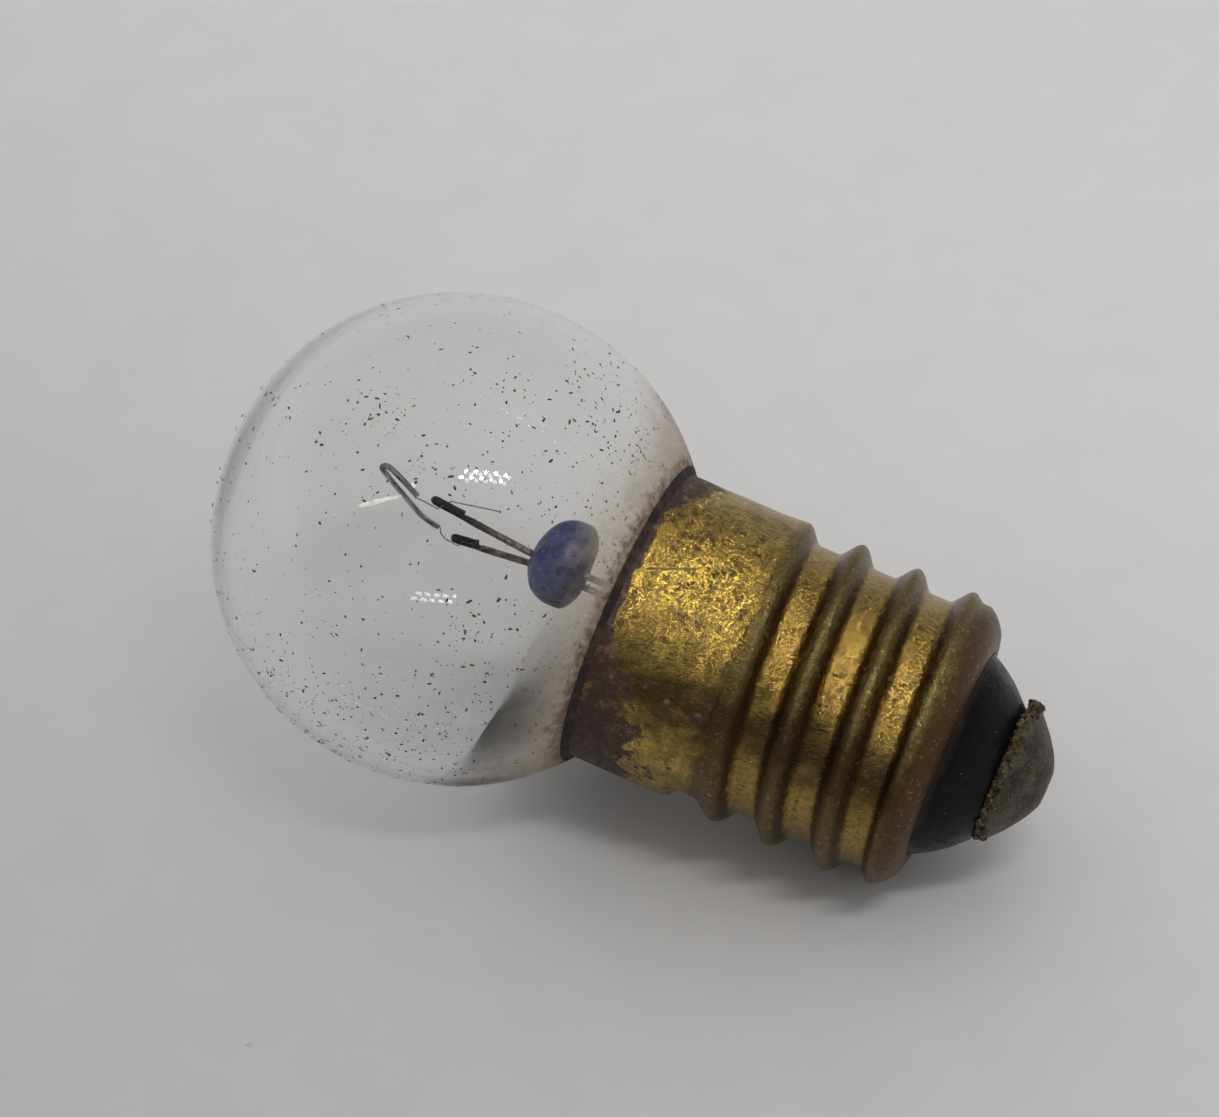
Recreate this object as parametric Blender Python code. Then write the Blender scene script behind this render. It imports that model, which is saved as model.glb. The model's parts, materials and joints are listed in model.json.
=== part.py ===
# Dead miniature screw lamp lying on its side: clear globe, broken-off filament, tarnished brass cap.
# Everything is modelled along the lamp's own axis, +X from the globe to the contact, with X = 0 at
# the globe's centre, and an empty then lays the lamp down on its globe and its last thread.
import math

import bmesh
import bpy
from mathutils import Matrix, Vector

MM = 0.001
TURN = 2 * math.pi

# Globe and neck
GLOBE_RADIUS = 7.53 * MM
GLASS_WALL = 0.35 * MM
POLE_WALL = 0.52 * MM
POLE_FLAT = 0.10 * MM
SHOULDER_FILLET = 0.30 * MM
NECK_LENGTH = 1.75 * MM
NECK_TAPER = 1.25 * MM
MOUTH_RADIUS = 2.75 * MM
NECK_PAST_THREAD = 0.45 * MM

# Screw cap, measured along the axis from its rim
COLLAR_RADIUS = 4.63 * MM
SHEET = 0.25 * MM
CAP_LENGTH = 10.58 * MM
RIM_OVER_GLOBE = 0.17 * MM
THREAD_CREST = 4.72 * MM
THREAD_ROOT = 4.17 * MM
PITCH = 1.814 * MM
FIRST_CREST = 5.70 * MM
CREST_HALF_WIDTH = 0.33
END_ROUNDING = 1.23 * MM
END_SHOULDER = 3.65 * MM
END_HOLE_RADIUS = 3.30 * MM
END_SEAT = 0.12 * MM
CORNER = 0.05 * MM
NOTCH_WIDTH = 0.46 * MM
NOTCH_DEPTH = 0.62 * MM

# Insulator, contact and solder
INSULATOR_TIP_RADIUS = 2.10 * MM
INSULATOR_LENGTH = 1.52 * MM
INSULATOR_BULGE = 0.12 * MM
INSULATOR_SKIRT = 1.15 * MM
INSULATOR_FLANGE = 0.55 * MM
HOLE_DEPTH = 0.55 * MM
WIRE_HOLE_RADIUS = 0.40 * MM
EYELET_RADIUS = 1.68 * MM
EYELET_SHEET = 0.22 * MM
EYELET_TUBE_RADIUS = 0.62 * MM
EYELET_TUBE_LENGTH = 0.80 * MM
SOLDER_RADIUS = 2.18 * MM
SOLDER_HEIGHT = 1.44 * MM
SOLDER_FLAT = 0.50 * MM
SOLDER_OFFSET = 0.20 * MM
SIDE_SOLDER_RADIUS = 0.85 * MM
SIDE_SOLDER_HEIGHT = 0.34 * MM

# Mount: bead, lead wires and filament
BEAD_BEFORE_RIM = 2.60 * MM
BEAD_RADIUS = 1.38 * MM
BEAD_THICKNESS = 1.86 * MM
BEAD_RISE = 0.60 * MM
BEAD_WIDEST = 0.60
BEAD_FRONT_CURVE = 2.0
BEAD_BACK_CURVE = 2.6
LEAD_RADIUS = 0.125 * MM
CLAMP_SLIP = 0.012 * MM
CLAMP_HOLD = 0.20 * MM
LEAD_SPACING = 1.62 * MM
LEAD_SPREAD = 0.72 * MM
LEAD_TAIL = 0.72 * MM
LEAD_TURN = 0.62 * MM
LEAD_RISE = 0.10 * MM
HOOK_REACH_UPPER = 4.30 * MM
HOOK_REACH_LOWER = 3.50 * MM
HOOK_FOLD_UPPER = 1.05 * MM
HOOK_FOLD_LOWER = 0.88 * MM
COIL_RADIUS = 0.085 * MM
FILAMENT_WIRE_RADIUS = 0.018 * MM
COIL_REACH = 2.05 * MM
SEAL_THICKNESS = 0.60 * MM
EXHAUST_RADIUS = 0.85 * MM
EXHAUST_LENGTH = 2.30 * MM
CEMENT_INSET = 0.45 * MM
SEAL_FILLET = 0.15 * MM

# Clearances
SEAT_GAP = 0.04 * MM
WIRE_GAP = 0.025 * MM

# Angles about the lamp's axis, from +Y towards +Z before the lamp is laid down
MOUNT_ROLL = math.radians(45)
THREAD_START = math.radians(45)
SIDE_JOINT = math.radians(315)
CEMENT_SLOT = math.radians(9)

# Facets
ROUND_STEPS = 48
GLASS_STEPS = 40
SMALL_STEPS = 24
THREAD_STATION = 0.24 * MM
BORE_STATION = 0.44 * MM

# Places along the axis that follow from the sizes above
shoulder_radius = COLLAR_RADIUS + RIM_OVER_GLOBE
rim_x = math.sqrt(GLOBE_RADIUS ** 2 - shoulder_radius ** 2) + SEAT_GAP
cap_end_x = rim_x + CAP_LENGTH
collar_bore = COLLAR_RADIUS - SHEET
thread_bore = THREAD_ROOT - SHEET
neck_radius = min(collar_bore, thread_bore + NECK_PAST_THREAD) - 2 * LEAD_RADIUS - 2 * WIRE_GAP - SEAT_GAP
neck_end_x = rim_x + SHOULDER_FILLET + NECK_LENGTH
mouth_x = neck_end_x + NECK_TAPER
lip_inside_x = cap_end_x - SHEET
insulator_x = cap_end_x + INSULATOR_LENGTH
solder_x = insulator_x + SEAT_GAP
bead_x = rim_x - BEAD_BEFORE_RIM
bead_front_x = bead_x - BEAD_THICKNESS / 2

# Where each lead wire passes its hook, the bead and the seal: (up, near), square to the lamp's axis
hook_near = LEAD_SPACING / 2
lead_bend = LEAD_RADIUS + FILAMENT_WIRE_RADIUS + CLAMP_SLIP
seal_near = hook_near + LEAD_SPREAD
lead_spots = {
    "centre": {"hook": (0.76 * MM, hook_near - lead_bend), "bead": (0.50 * MM, 0.35 * MM),
               "seal": (0.62 * MM, seal_near)},
    "shell": {"hook": (-0.06 * MM, -hook_near), "bead": (0.20 * MM, -0.35 * MM),
              "seal": (0.16 * MM, -seal_near)},
}


def clear_scene():
    for item in list(bpy.data.objects):
        bpy.data.objects.remove(item, do_unlink=True)


def look(name, colour, roughness, metallic=0.0, transmission=0.0):
    material = bpy.data.materials.new(name)
    material.use_nodes = True
    shader = material.node_tree.nodes["Principled BSDF"]
    shader.inputs["Base Color"].default_value = (*colour, 1.0)
    shader.inputs["Roughness"].default_value = roughness
    shader.inputs["Metallic"].default_value = metallic
    shader.inputs["Transmission Weight"].default_value = transmission
    return material


def link(name, data, material, smooth_angle=35):
    item = bpy.data.objects.new(name, data)
    bpy.context.collection.objects.link(item)
    data.materials.append(material)
    item.parent = axis
    if item.type == "MESH":
        data.shade_smooth()
        data.set_sharp_from_angle(angle=math.radians(smooth_angle))
    return item


def spun(outline, steps, sweep=TURN, start=0.0):
    """Turn a closed (x, radius) outline about the lamp's axis; points of radius 0 lie on it."""
    work = bmesh.new()
    points = [work.verts.new((x, r * math.cos(start), r * math.sin(start))) for x, r in outline]
    pairs = list(zip(points, points[1:] + points[:1]))
    if outline[0][1] == 0 and outline[-1][1] == 0:
        pairs.pop()
    edges = [work.edges.new(pair) for pair in pairs]
    whole = sweep >= TURN
    bmesh.ops.spin(work, geom=points + edges, cent=(0, 0, 0), axis=(1, 0, 0), angle=sweep,
                   steps=steps, use_merge=whole)
    bmesh.ops.remove_doubles(work, verts=work.verts, dist=1e-8)
    if not whole:
        bmesh.ops.holes_fill(work, edges=[e for e in work.edges if e.is_boundary], sides=0)
    bmesh.ops.recalc_face_normals(work, faces=work.faces)
    return work


def mesh_from(work, name):
    mesh = bpy.data.meshes.new(name)
    work.to_mesh(mesh)
    work.free()
    return mesh


def turned(name, outline, material, steps=ROUND_STEPS, sweep=TURN, start=0.0):
    return link(name, mesh_from(spun(outline, steps, sweep, start), name), material)


def in_mount(x, up, near):
    """A point of the inner works: up and near are square to the axis, turned by MOUNT_ROLL."""
    roll = Matrix.Rotation(MOUNT_ROLL, 3, "X")
    return roll @ Vector((x, up, near))


def at_angle(x, radius, angle):
    return Vector((x, radius * math.cos(angle), radius * math.sin(angle)))


def rounded_path(corners, bend, steps=5):
    """Straight runs joined by arcs of the given bend radius."""
    path = [corners[0]]
    for before, corner, after in zip(corners, corners[1:], corners[2:]):
        back = (before - corner).normalized()
        ahead = (after - corner).normalized()
        inner = back.angle(ahead)
        if math.pi - inner < math.radians(2):
            path.append(corner)
            continue
        reach = min(bend / math.tan(inner / 2), 0.499 * (before - corner).length,
                    0.499 * (after - corner).length)
        radius = reach * math.tan(inner / 2)
        centre = corner + (back + ahead).normalized() * radius / math.sin(inner / 2)
        first = (corner + back * reach - centre).normalized()
        last = (corner + ahead * reach - centre).normalized()
        for step in range(steps + 1):
            path.append(centre + first.slerp(last, step / steps) * radius)
    path.append(corners[-1])
    return path


def smooth_path(corners, steps):
    """A Catmull-Rom curve through the corners, so the coil bends like springy wire."""
    ends = [2 * corners[0] - corners[1]] + corners + [2 * corners[-1] - corners[-2]]
    path = []
    for a, b, c, d in zip(ends, ends[1:], ends[2:], ends[3:]):
        for step in range(steps):
            t = step / steps
            path.append(0.5 * (2 * b + (c - a) * t + (2 * a - 5 * b + 4 * c - d) * t * t
                               + (3 * b - a - 3 * c + d) * t ** 3))
    path.append(corners[-1])
    return path


def wire(name, path, radii, material, sides_resolution=2):
    curve = bpy.data.curves.new(name, "CURVE")
    curve.dimensions = "3D"
    curve.bevel_depth = 1.0 * MM
    curve.bevel_resolution = sides_resolution
    curve.use_fill_caps = True
    strand = curve.splines.new("POLY")
    strand.points.add(len(path) - 1)
    for point, place, radius in zip(strand.points, path, radii):
        point.co = (*place, 1.0)
        point.radius = radius / MM
    return link(name, curve, material)


def rod_cutter(name, start, end, radius, steps=12):
    """A hidden round cutter that runs from start to end."""
    work = bmesh.new()
    run = end - start
    turn = run.to_track_quat("Z", "Y").to_matrix().to_4x4()
    bmesh.ops.create_cone(work, cap_ends=True, segments=steps, radius1=radius, radius2=radius,
                          depth=run.length, matrix=Matrix.Translation((start + end) / 2) @ turn)
    return hide(bpy.data.objects.new(name, mesh_from(work, name)))


def hide(cutter):
    bpy.context.collection.objects.link(cutter)
    cutter.parent = axis
    cutter.hide_render = True
    cutter.display_type = "WIRE"
    return cutter


def cut(item, cutter):
    change = item.modifiers.new("cut_" + cutter.name, "BOOLEAN")
    change.operation = "DIFFERENCE"
    change.solver = "EXACT"
    change.object = cutter


def blend(low, high, value):
    t = min(max((value - low) / (high - low), 0.0), 1.0)
    return t * t * (3 - 2 * t)


def thread_surface(x, angle):
    """Outer radius of the screw cap: a plain collar that runs into a rolled, rounded thread."""
    along = x - rim_x
    first = FIRST_CREST - PITCH
    level = COLLAR_RADIUS + (THREAD_CREST - COLLAR_RADIUS) * blend(0.73 * first, 1.2 * first, along)
    into_end = min(max((x - cap_end_x) / END_ROUNDING + 1, 0.0), 1.0)
    level = END_SHOULDER + (level - END_SHOULDER) * (1 - into_end ** 1.7) ** 0.62
    round_share = ((angle - THREAD_START) / TURN) % 1.0
    turns = (along - first + PITCH / 2) / PITCH - round_share
    groove = math.floor(turns + 0.5)
    from_crest = 0.5 - abs(turns - groove)
    crest = (0.5 + 0.5 * math.cos(math.pi * min(from_crest / CREST_HALF_WIDTH, 1.0))) ** 0.8
    cut_in = groove + round_share
    strength = 0.12 * blend(0.0, 0.31, cut_in) + 0.88 * blend(0.37, 0.55, cut_in)
    strength *= 1 - blend(cap_end_x - END_ROUNDING, cap_end_x - 0.47 * END_ROUNDING, x)
    depth = min(THREAD_CREST - THREAD_ROOT, max(level - THREAD_ROOT, 0.0))
    return level - depth * strength * (1 - crest)


def stations(start, end, spacing):
    count = max(2, round((end - start) / spacing))
    return [start + (end - start) * step / count for step in range(count + 1)]


def screw_shell(material):
    """One sheet-brass piece: the plain sleeve is turned, then the thread is pressed into both walls."""
    thread_x = rim_x + 0.66 * (FIRST_CREST - PITCH)
    corner_x = cap_end_x - CORNER
    outer = [(rim_x, COLLAR_RADIUS), (rim_x + 0.5 * (thread_x - rim_x), COLLAR_RADIUS)]
    outer += [(x, COLLAR_RADIUS) for x in stations(thread_x, corner_x, THREAD_STATION)]
    end_face = [(cap_end_x, END_SHOULDER - CORNER), (cap_end_x, END_HOLE_RADIUS)]
    lip_x = lip_inside_x - 2 * CORNER
    inner = [(lip_inside_x, END_HOLE_RADIUS), (lip_inside_x, END_SHOULDER - END_SEAT)]
    inner += [(x, collar_bore) for x in reversed(stations(thread_x, lip_x, BORE_STATION))]
    inner += [(rim_x, collar_bore)]
    work = spun(outer + end_face + inner, ROUND_STEPS)
    for vert in work.verts:
        radius = math.hypot(vert.co.y, vert.co.z)
        if radius < END_SHOULDER:
            continue
        angle = math.atan2(vert.co.z, vert.co.y)
        is_bore = radius < COLLAR_RADIUS - SHEET / 2
        x = vert.co.x + (0.4 * SHEET * blend(lip_x - END_ROUNDING, lip_x, vert.co.x) if is_bore else 0)
        pressed = thread_surface(x, angle) - (SHEET if is_bore else 0)
        vert.co.y = pressed * math.cos(angle)
        vert.co.z = pressed * math.sin(angle)
    shell = link("screw_shell", mesh_from(work, "screw_shell"), material, 50)
    notch = bmesh.new()
    bmesh.ops.create_cube(notch, size=1.0)
    size = Vector((2 * NOTCH_DEPTH, 4 * SHEET, NOTCH_WIDTH))
    place = Matrix.Rotation(SIDE_JOINT, 4, "X") @ Matrix.Translation((rim_x, COLLAR_RADIUS, 0))
    notch.transform(place @ Matrix.Diagonal((*size, 1.0)))
    cut(shell, hide(bpy.data.objects.new("rim_notch", mesh_from(notch, "rim_notch"))))
    return shell


def glass_envelope(material):
    """Blown globe and neck, open at the mouth where the butt seal closes it."""
    shoulder = math.asin(shoulder_radius / GLOBE_RADIUS)
    rings = 17
    outer = []
    inner = []
    for step in range(rings + 1):
        lean = (math.pi - shoulder) * step / rings
        flat = POLE_FLAT * max(math.cos(lean), 0) ** 8
        wall = GLASS_WALL + (POLE_WALL - GLASS_WALL) * max(math.cos(lean), 0) ** 4
        outer.append((-(GLOBE_RADIUS - flat) * math.cos(lean), GLOBE_RADIUS * math.sin(lean)))
        inside = GLOBE_RADIUS - wall
        inner.append((-(inside - flat) * math.cos(lean), inside * math.sin(lean)))
    outer[0] = (outer[0][0], 0)
    inner[0] = (inner[0][0], 0)
    fillet_x = rim_x + SHOULDER_FILLET
    drop = shoulder_radius - neck_radius
    outer += [(rim_x - SEAT_GAP / 2, collar_bore - SEAT_GAP),
              (rim_x + 0.40 * SHOULDER_FILLET, neck_radius + 0.12 * drop),
              (fillet_x, neck_radius), (neck_end_x, neck_radius), (mouth_x, MOUTH_RADIUS)]
    while inner[-1][0] > rim_x - 1.2 * GLASS_WALL:
        inner.pop()
    slope = math.atan2(neck_radius - MOUTH_RADIUS, NECK_TAPER)
    wall_x = GLASS_WALL * math.tan(slope / 2)
    inner += [(rim_x - 0.5 * GLASS_WALL, neck_radius - 0.35 * GLASS_WALL),
              (fillet_x, neck_radius - GLASS_WALL), (neck_end_x - wall_x, neck_radius - GLASS_WALL),
              (mouth_x, MOUTH_RADIUS - GLASS_WALL / math.cos(slope))]
    return turned("glass_envelope", outer + inner[::-1], material, GLASS_STEPS)


def hook(tip, towards, fold):
    """Corners of the folded lead end that clamps the filament: short limb, bend, long limb."""
    run = (towards - tip).normalized()
    away = in_mount(0, 0.33, 0.944)
    away = (away - run * away.dot(run)).normalized() * 2 * lead_bend
    return [tip + away + run * fold, tip + away, tip]


def lead_runs():
    """Corner lists of both lead wires, from the folded hook to their soldered ends."""
    behind_bead = bead_x + 1.6 * BEAD_THICKNESS
    before_bead = bead_front_x - LEAD_RISE
    seal_front = mouth_x - SEAL_THICKNESS - 4 * LEAD_RADIUS
    seal_back = mouth_x + LEAD_TAIL
    runs = {}
    for key, reach, fold in (("centre", HOOK_REACH_UPPER, HOOK_FOLD_UPPER),
                             ("shell", HOOK_REACH_LOWER, HOOK_FOLD_LOWER)):
        spots = lead_spots[key]
        after = [b + 0.35 * (s - b) for b, s in zip(spots["bead"], spots["seal"])]
        at_bead = in_mount(before_bead, *spots["bead"])
        runs[key] = hook(in_mount(bead_x - reach, *spots["hook"]), at_bead, fold)
        runs[key] += [at_bead, in_mount(behind_bead, *after),
                      in_mount(seal_front, *spots["seal"]), in_mount(seal_back, *spots["seal"])]
    wire_end = solder_x - SEAT_GAP / 2
    exhaust_end = mouth_x + EXHAUST_LENGTH
    runs["centre"] += [in_mount(exhaust_end, *lead_spots["centre"]["seal"]),
                       Vector((lip_inside_x - INSULATOR_SKIRT, 0, 0)), Vector((wire_end, 0, 0))]
    side_radius = neck_radius + LEAD_RADIUS + WIRE_GAP
    notch_x = rim_x + NOTCH_DEPTH - LEAD_RADIUS - WIRE_GAP
    runs["shell"] += [at_angle(mouth_x + LEAD_TURN, MOUTH_RADIUS, SIDE_JOINT),
                      at_angle(neck_end_x + LEAD_RISE, side_radius, SIDE_JOINT),
                      at_angle(notch_x, side_radius, SIDE_JOINT),
                      at_angle(notch_x, COLLAR_RADIUS, SIDE_JOINT)]
    return runs


def lead_wire(name, corners, material):
    path = rounded_path(corners[:4], lead_bend, 6)[:-1] + rounded_path(corners[3:], 3 * lead_bend, 4)
    return wire(name, path, [LEAD_RADIUS] * len(path), material)


def glass_bead(material, runs):
    """Bead melted round both leads: rounded towards the filament, blunter towards the cap."""
    rings = 14
    outline = []
    for step in range(rings + 1):
        share = 0.5 - 0.5 * math.cos(math.pi * step / rings)
        length, curve = BEAD_WIDEST, BEAD_FRONT_CURVE
        if share > BEAD_WIDEST:
            length, curve = 1 - BEAD_WIDEST, BEAD_BACK_CURVE
        from_widest = abs(share - BEAD_WIDEST) / length
        swell = (1 - from_widest ** curve) ** (1 / curve) if 0 < step < rings else 0
        outline.append((bead_front_x + BEAD_THICKNESS * share, BEAD_RADIUS * swell))
    work = spun(outline, SMALL_STEPS)
    work.transform(Matrix.Translation(in_mount(0, BEAD_RISE, 0)))
    bead = link("glass_bead", mesh_from(work, "glass_bead"), material)
    for key in ("centre", "shell"):
        start, end = runs[key][3], runs[key][4]
        cut(bead, rod_cutter("bead_hole_" + key, start, end, LEAD_RADIUS + WIRE_GAP))
    return bead


def butt_seal(material, runs):
    """Glass plug in the neck's mouth, drawn out into the tipped-off exhaust tube."""
    slope = (neck_radius - MOUTH_RADIUS) / NECK_TAPER
    front_x = mouth_x - SEAL_THICKNESS
    wall = GLASS_WALL / math.cos(math.atan(slope)) + SEAT_GAP
    front = MOUTH_RADIUS + slope * SEAL_THICKNESS - wall
    back = MOUTH_RADIUS - wall
    outline = [(front_x, 0), (front_x, front), (mouth_x, back),
               (mouth_x + 0.8 * SEAL_FILLET, back - SEAL_FILLET),
               (mouth_x + SEAL_FILLET, EXHAUST_RADIUS + SEAL_FILLET),
               (mouth_x + 2.3 * SEAL_FILLET, EXHAUST_RADIUS),
               (mouth_x + 0.62 * EXHAUST_LENGTH, 0.94 * EXHAUST_RADIUS),
               (mouth_x + 0.86 * EXHAUST_LENGTH, 0.60 * EXHAUST_RADIUS),
               (mouth_x + 0.97 * EXHAUST_LENGTH, 0.25 * EXHAUST_RADIUS),
               (mouth_x + EXHAUST_LENGTH, 0)]
    seal = turned("butt_seal", outline, material, SMALL_STEPS)
    for key in ("centre", "shell"):
        start, end = runs[key][5], runs[key][6]
        cut(seal, rod_cutter("seal_hole_" + key, start, end, LEAD_RADIUS + WIRE_GAP))
    return seal


def filament(material, runs):
    """Coiled tungsten: loose tail, first clamp, thin link, hairpin coil, kinked link, second clamp."""
    clamps, along, across = [], [], []
    for corners in (runs["centre"], runs["shell"]):
        run = (corners[3] - corners[2]).normalized()
        clamps.append((corners[1] + corners[2]) / 2 + run * (lead_bend + CLAMP_HOLD))
        along.append(run * 0.6 * CLAMP_HOLD)
        away = (corners[1] - corners[2]).normalized()
        across.append(away.cross(run) * (LEAD_RADIUS + 4 * FILAMENT_WIRE_RADIUS))
    tip_x = runs["centre"][2].x

    def place(x, up, near):
        return Vector((tip_x + x * MM, 0, 0)) + in_mount(0, up * MM, near * MM)

    tail = [place(2.02, 1.27, 0.62), clamps[0] + along[0] + across[0]]
    enter = [clamps[0] - along[0] - across[0], place(-0.22, 0.64, 0.84)]
    coil = [place(-0.50, 0.70, 0.80), place(-1.15, 0.97, 0.66), place(-1.80, 1.18, 0.42),
            place(-COIL_REACH / MM, 1.10, 0.22), place(-1.84, 0.93, 0.02), place(-1.10, 0.55, -0.24),
            place(-0.40, 0.22, -0.46), place(0.20, 0.10, -0.58)]
    kink = [place(0.33, -0.04, -0.62), place(0.52, -0.14, -0.66)]
    leave = [clamps[1] - along[1] - across[1], clamps[1]]
    coil_path = smooth_path(coil, 5)
    path = tail + [clamps[0]] + enter + coil_path + kink + leave
    radii = [FILAMENT_WIRE_RADIUS] * 5 + [COIL_RADIUS] * len(coil_path) + [FILAMENT_WIRE_RADIUS] * 4
    return wire("filament", path, radii, material)


def basing_cement(material):
    """Ring of cement between neck and collar, with a slot where the shell's lead wire passes."""
    front_x = rim_x + SHOULDER_FILLET + CEMENT_INSET
    back_x = neck_end_x + 0.80 * NECK_TAPER
    slope = (neck_radius - MOUTH_RADIUS) / NECK_TAPER
    wall = collar_bore - SEAT_GAP
    back_wall = min(thread_bore, collar_bore) - SEAT_GAP
    outline = [(front_x, neck_radius + SEAT_GAP), (neck_end_x + SEAT_GAP / 2, neck_radius + SEAT_GAP),
               (back_x, neck_radius - slope * (back_x - neck_end_x) + 1.4 * SEAT_GAP),
               (back_x, back_wall), (rim_x + 0.60 * (FIRST_CREST - PITCH), wall), (front_x, wall)]
    return turned("basing_cement", outline, material, GLASS_STEPS, TURN - 2 * CEMENT_SLOT,
                  SIDE_JOINT + CEMENT_SLOT)


def insulator(material):
    """Black glass cone moulded into the cap's end, hollow behind, with the eyelet's seat in front."""
    inside_x = lip_inside_x - SEAT_GAP
    hole = END_HOLE_RADIUS - SEAT_GAP
    flange = END_SHOULDER - END_SEAT - SEAT_GAP
    skirt_x = lip_inside_x - INSULATOR_SKIRT
    skirt = min(thread_bore, THREAD_CREST - SHEET) - SEAT_GAP
    outline = [(skirt_x, skirt), (inside_x - INSULATOR_FLANGE, skirt), (inside_x, flange), (inside_x, hole)]
    rings = 5
    for step in range(rings + 1):
        share = step / rings
        bulge = INSULATOR_BULGE * math.sin(math.pi * share)
        x = cap_end_x + INSULATOR_LENGTH * share
        outline.append((x, hole + (INSULATOR_TIP_RADIUS - hole) * share + bulge))
    seat = EYELET_RADIUS + SEAT_GAP
    seat_x = insulator_x - EYELET_SHEET - SEAT_GAP
    tube = EYELET_TUBE_RADIUS + SEAT_GAP
    tube_x = seat_x - EYELET_TUBE_LENGTH - SEAT_GAP
    outline += [(insulator_x, seat), (seat_x, seat), (seat_x, tube), (tube_x, tube),
                (tube_x, WIRE_HOLE_RADIUS), (tube_x - HOLE_DEPTH, WIRE_HOLE_RADIUS),
                (skirt_x, 0.62 * skirt)]
    return turned("insulator", outline, material, GLASS_STEPS)


def contact_eyelet(material):
    """Flanged brass eyelet in the insulator's nose; the centre lead comes up through it."""
    face_x = insulator_x
    back_x = face_x - EYELET_SHEET
    bore = LEAD_RADIUS + 3 * WIRE_GAP
    tube_x = back_x - EYELET_TUBE_LENGTH
    outline = [(face_x, bore), (face_x, EYELET_RADIUS), (back_x, EYELET_RADIUS),
               (back_x, EYELET_TUBE_RADIUS), (tube_x, EYELET_TUBE_RADIUS), (tube_x, bore)]
    return turned("contact_eyelet", outline, material, SMALL_STEPS)


def centre_solder(material):
    """Solder dome with a lumpy lip and a small worn flat, set a little off the axis."""
    dome_x = solder_x + 0.22 * SOLDER_HEIGHT
    top_x = solder_x + SOLDER_HEIGHT
    outline = [(solder_x, 0), (solder_x, 0.93 * SOLDER_RADIUS),
               (solder_x + 0.06 * SOLDER_HEIGHT, 1.01 * SOLDER_RADIUS),
               (solder_x + 0.14 * SOLDER_HEIGHT, 1.03 * SOLDER_RADIUS)]
    rings = 7
    for step in range(rings + 1):
        share = math.sin(0.5 * math.pi * step / rings)
        radius = SOLDER_FLAT + (SOLDER_RADIUS - SOLDER_FLAT) * (1 - share) ** 0.75
        outline.append((dome_x + (top_x - dome_x) * share, radius))
    outline.append((top_x, 0))
    work = spun(outline, SMALL_STEPS + 4)
    for vert in work.verts:
        angle = math.atan2(vert.co.z, vert.co.y)
        lip = 1 - min(abs(vert.co.x - solder_x) / (0.5 * SOLDER_HEIGHT), 1.0)
        lump = 1 + lip * (0.020 * math.sin(5 * angle) + 0.014 * math.sin(11 * angle + 1))
        vert.co.y *= lump
        vert.co.z *= lump
    work.transform(Matrix.Translation(in_mount(0, SOLDER_OFFSET, 0)))
    return link("centre_solder", mesh_from(work, "centre_solder"), material, 25)


def side_solder(material):
    """Flat blob on the collar's hidden side that joins the second lead to the shell."""
    work = bmesh.new()
    bmesh.ops.create_uvsphere(work, u_segments=20, v_segments=12, radius=1.0)
    work.transform(Matrix.Diagonal((SIDE_SOLDER_RADIUS, SIDE_SOLDER_HEIGHT, SIDE_SOLDER_RADIUS, 1.0)))
    middle_x = rim_x + 1.05 * SIDE_SOLDER_RADIUS
    place = Matrix.Translation((middle_x, COLLAR_RADIUS, 0))
    work.transform(Matrix.Rotation(SIDE_JOINT, 4, "X") @ place)
    blob = link("side_solder", mesh_from(work, "side_solder"), material)
    front, back = (Vector((middle_x + side * 2 * SIDE_SOLDER_RADIUS, 0, 0)) for side in (-1, 1))
    cut(blob, rod_cutter("collar_seat", front, back, COLLAR_RADIUS + SEAT_GAP / 2, 96))
    return blob


def lay_down(lying):
    """Tilt the lamp until its globe and its last thread touch Z = 0 together, and centre it."""
    ready = bpy.context.evaluated_depsgraph_get()
    groups = {}
    for item in lying:
        solid = item.evaluated_get(ready).to_mesh()
        groups[item.name] = [vert.co.copy() for vert in solid.vertices]

    def lowest(name, tilt):
        return min(-point.x * math.sin(tilt) + point.z * math.cos(tilt) for point in groups[name])

    low, high = 0.0, math.radians(40)
    for step in range(50):
        middle = (low + high) / 2
        if lowest("screw_shell", middle) > lowest("glass_envelope", middle):
            low = middle
        else:
            high = middle
    turn = Matrix.Rotation(high, 3, "Y")
    placed = [turn @ point for points in groups.values() for point in points]
    middle_x = (min(p.x for p in placed) + max(p.x for p in placed)) / 2
    middle_y = (min(p.y for p in placed) + max(p.y for p in placed)) / 2
    axis.rotation_euler = (0, high, 0)
    axis.location = (-middle_x, -middle_y, -min(p.z for p in placed))


clear_scene()
axis = bpy.data.objects.new("lamp_axis", None)
bpy.context.collection.objects.link(axis)

clear_glass = look("clear_glass", (0.92, 0.93, 0.90), 0.03, transmission=1.0)
blue_glass = look("blue_glass", (0.10, 0.13, 0.32), 0.15, transmission=0.4)
black_glass = look("black_glass", (0.012, 0.013, 0.015), 0.12)
tarnished_brass = look("tarnished_brass", (0.30, 0.22, 0.09), 0.42, 1.0)
contact_brass = look("contact_brass", (0.42, 0.32, 0.14), 0.35, 1.0)
oxidised_wire = look("oxidised_wire", (0.10, 0.06, 0.05), 0.55, 0.8)
tungsten = look("tungsten", (0.18, 0.18, 0.18), 0.45, 1.0)
cement = look("cement", (0.52, 0.44, 0.32), 0.9)
dull_solder = look("dull_solder", (0.22, 0.20, 0.16), 0.55, 0.9)

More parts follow.
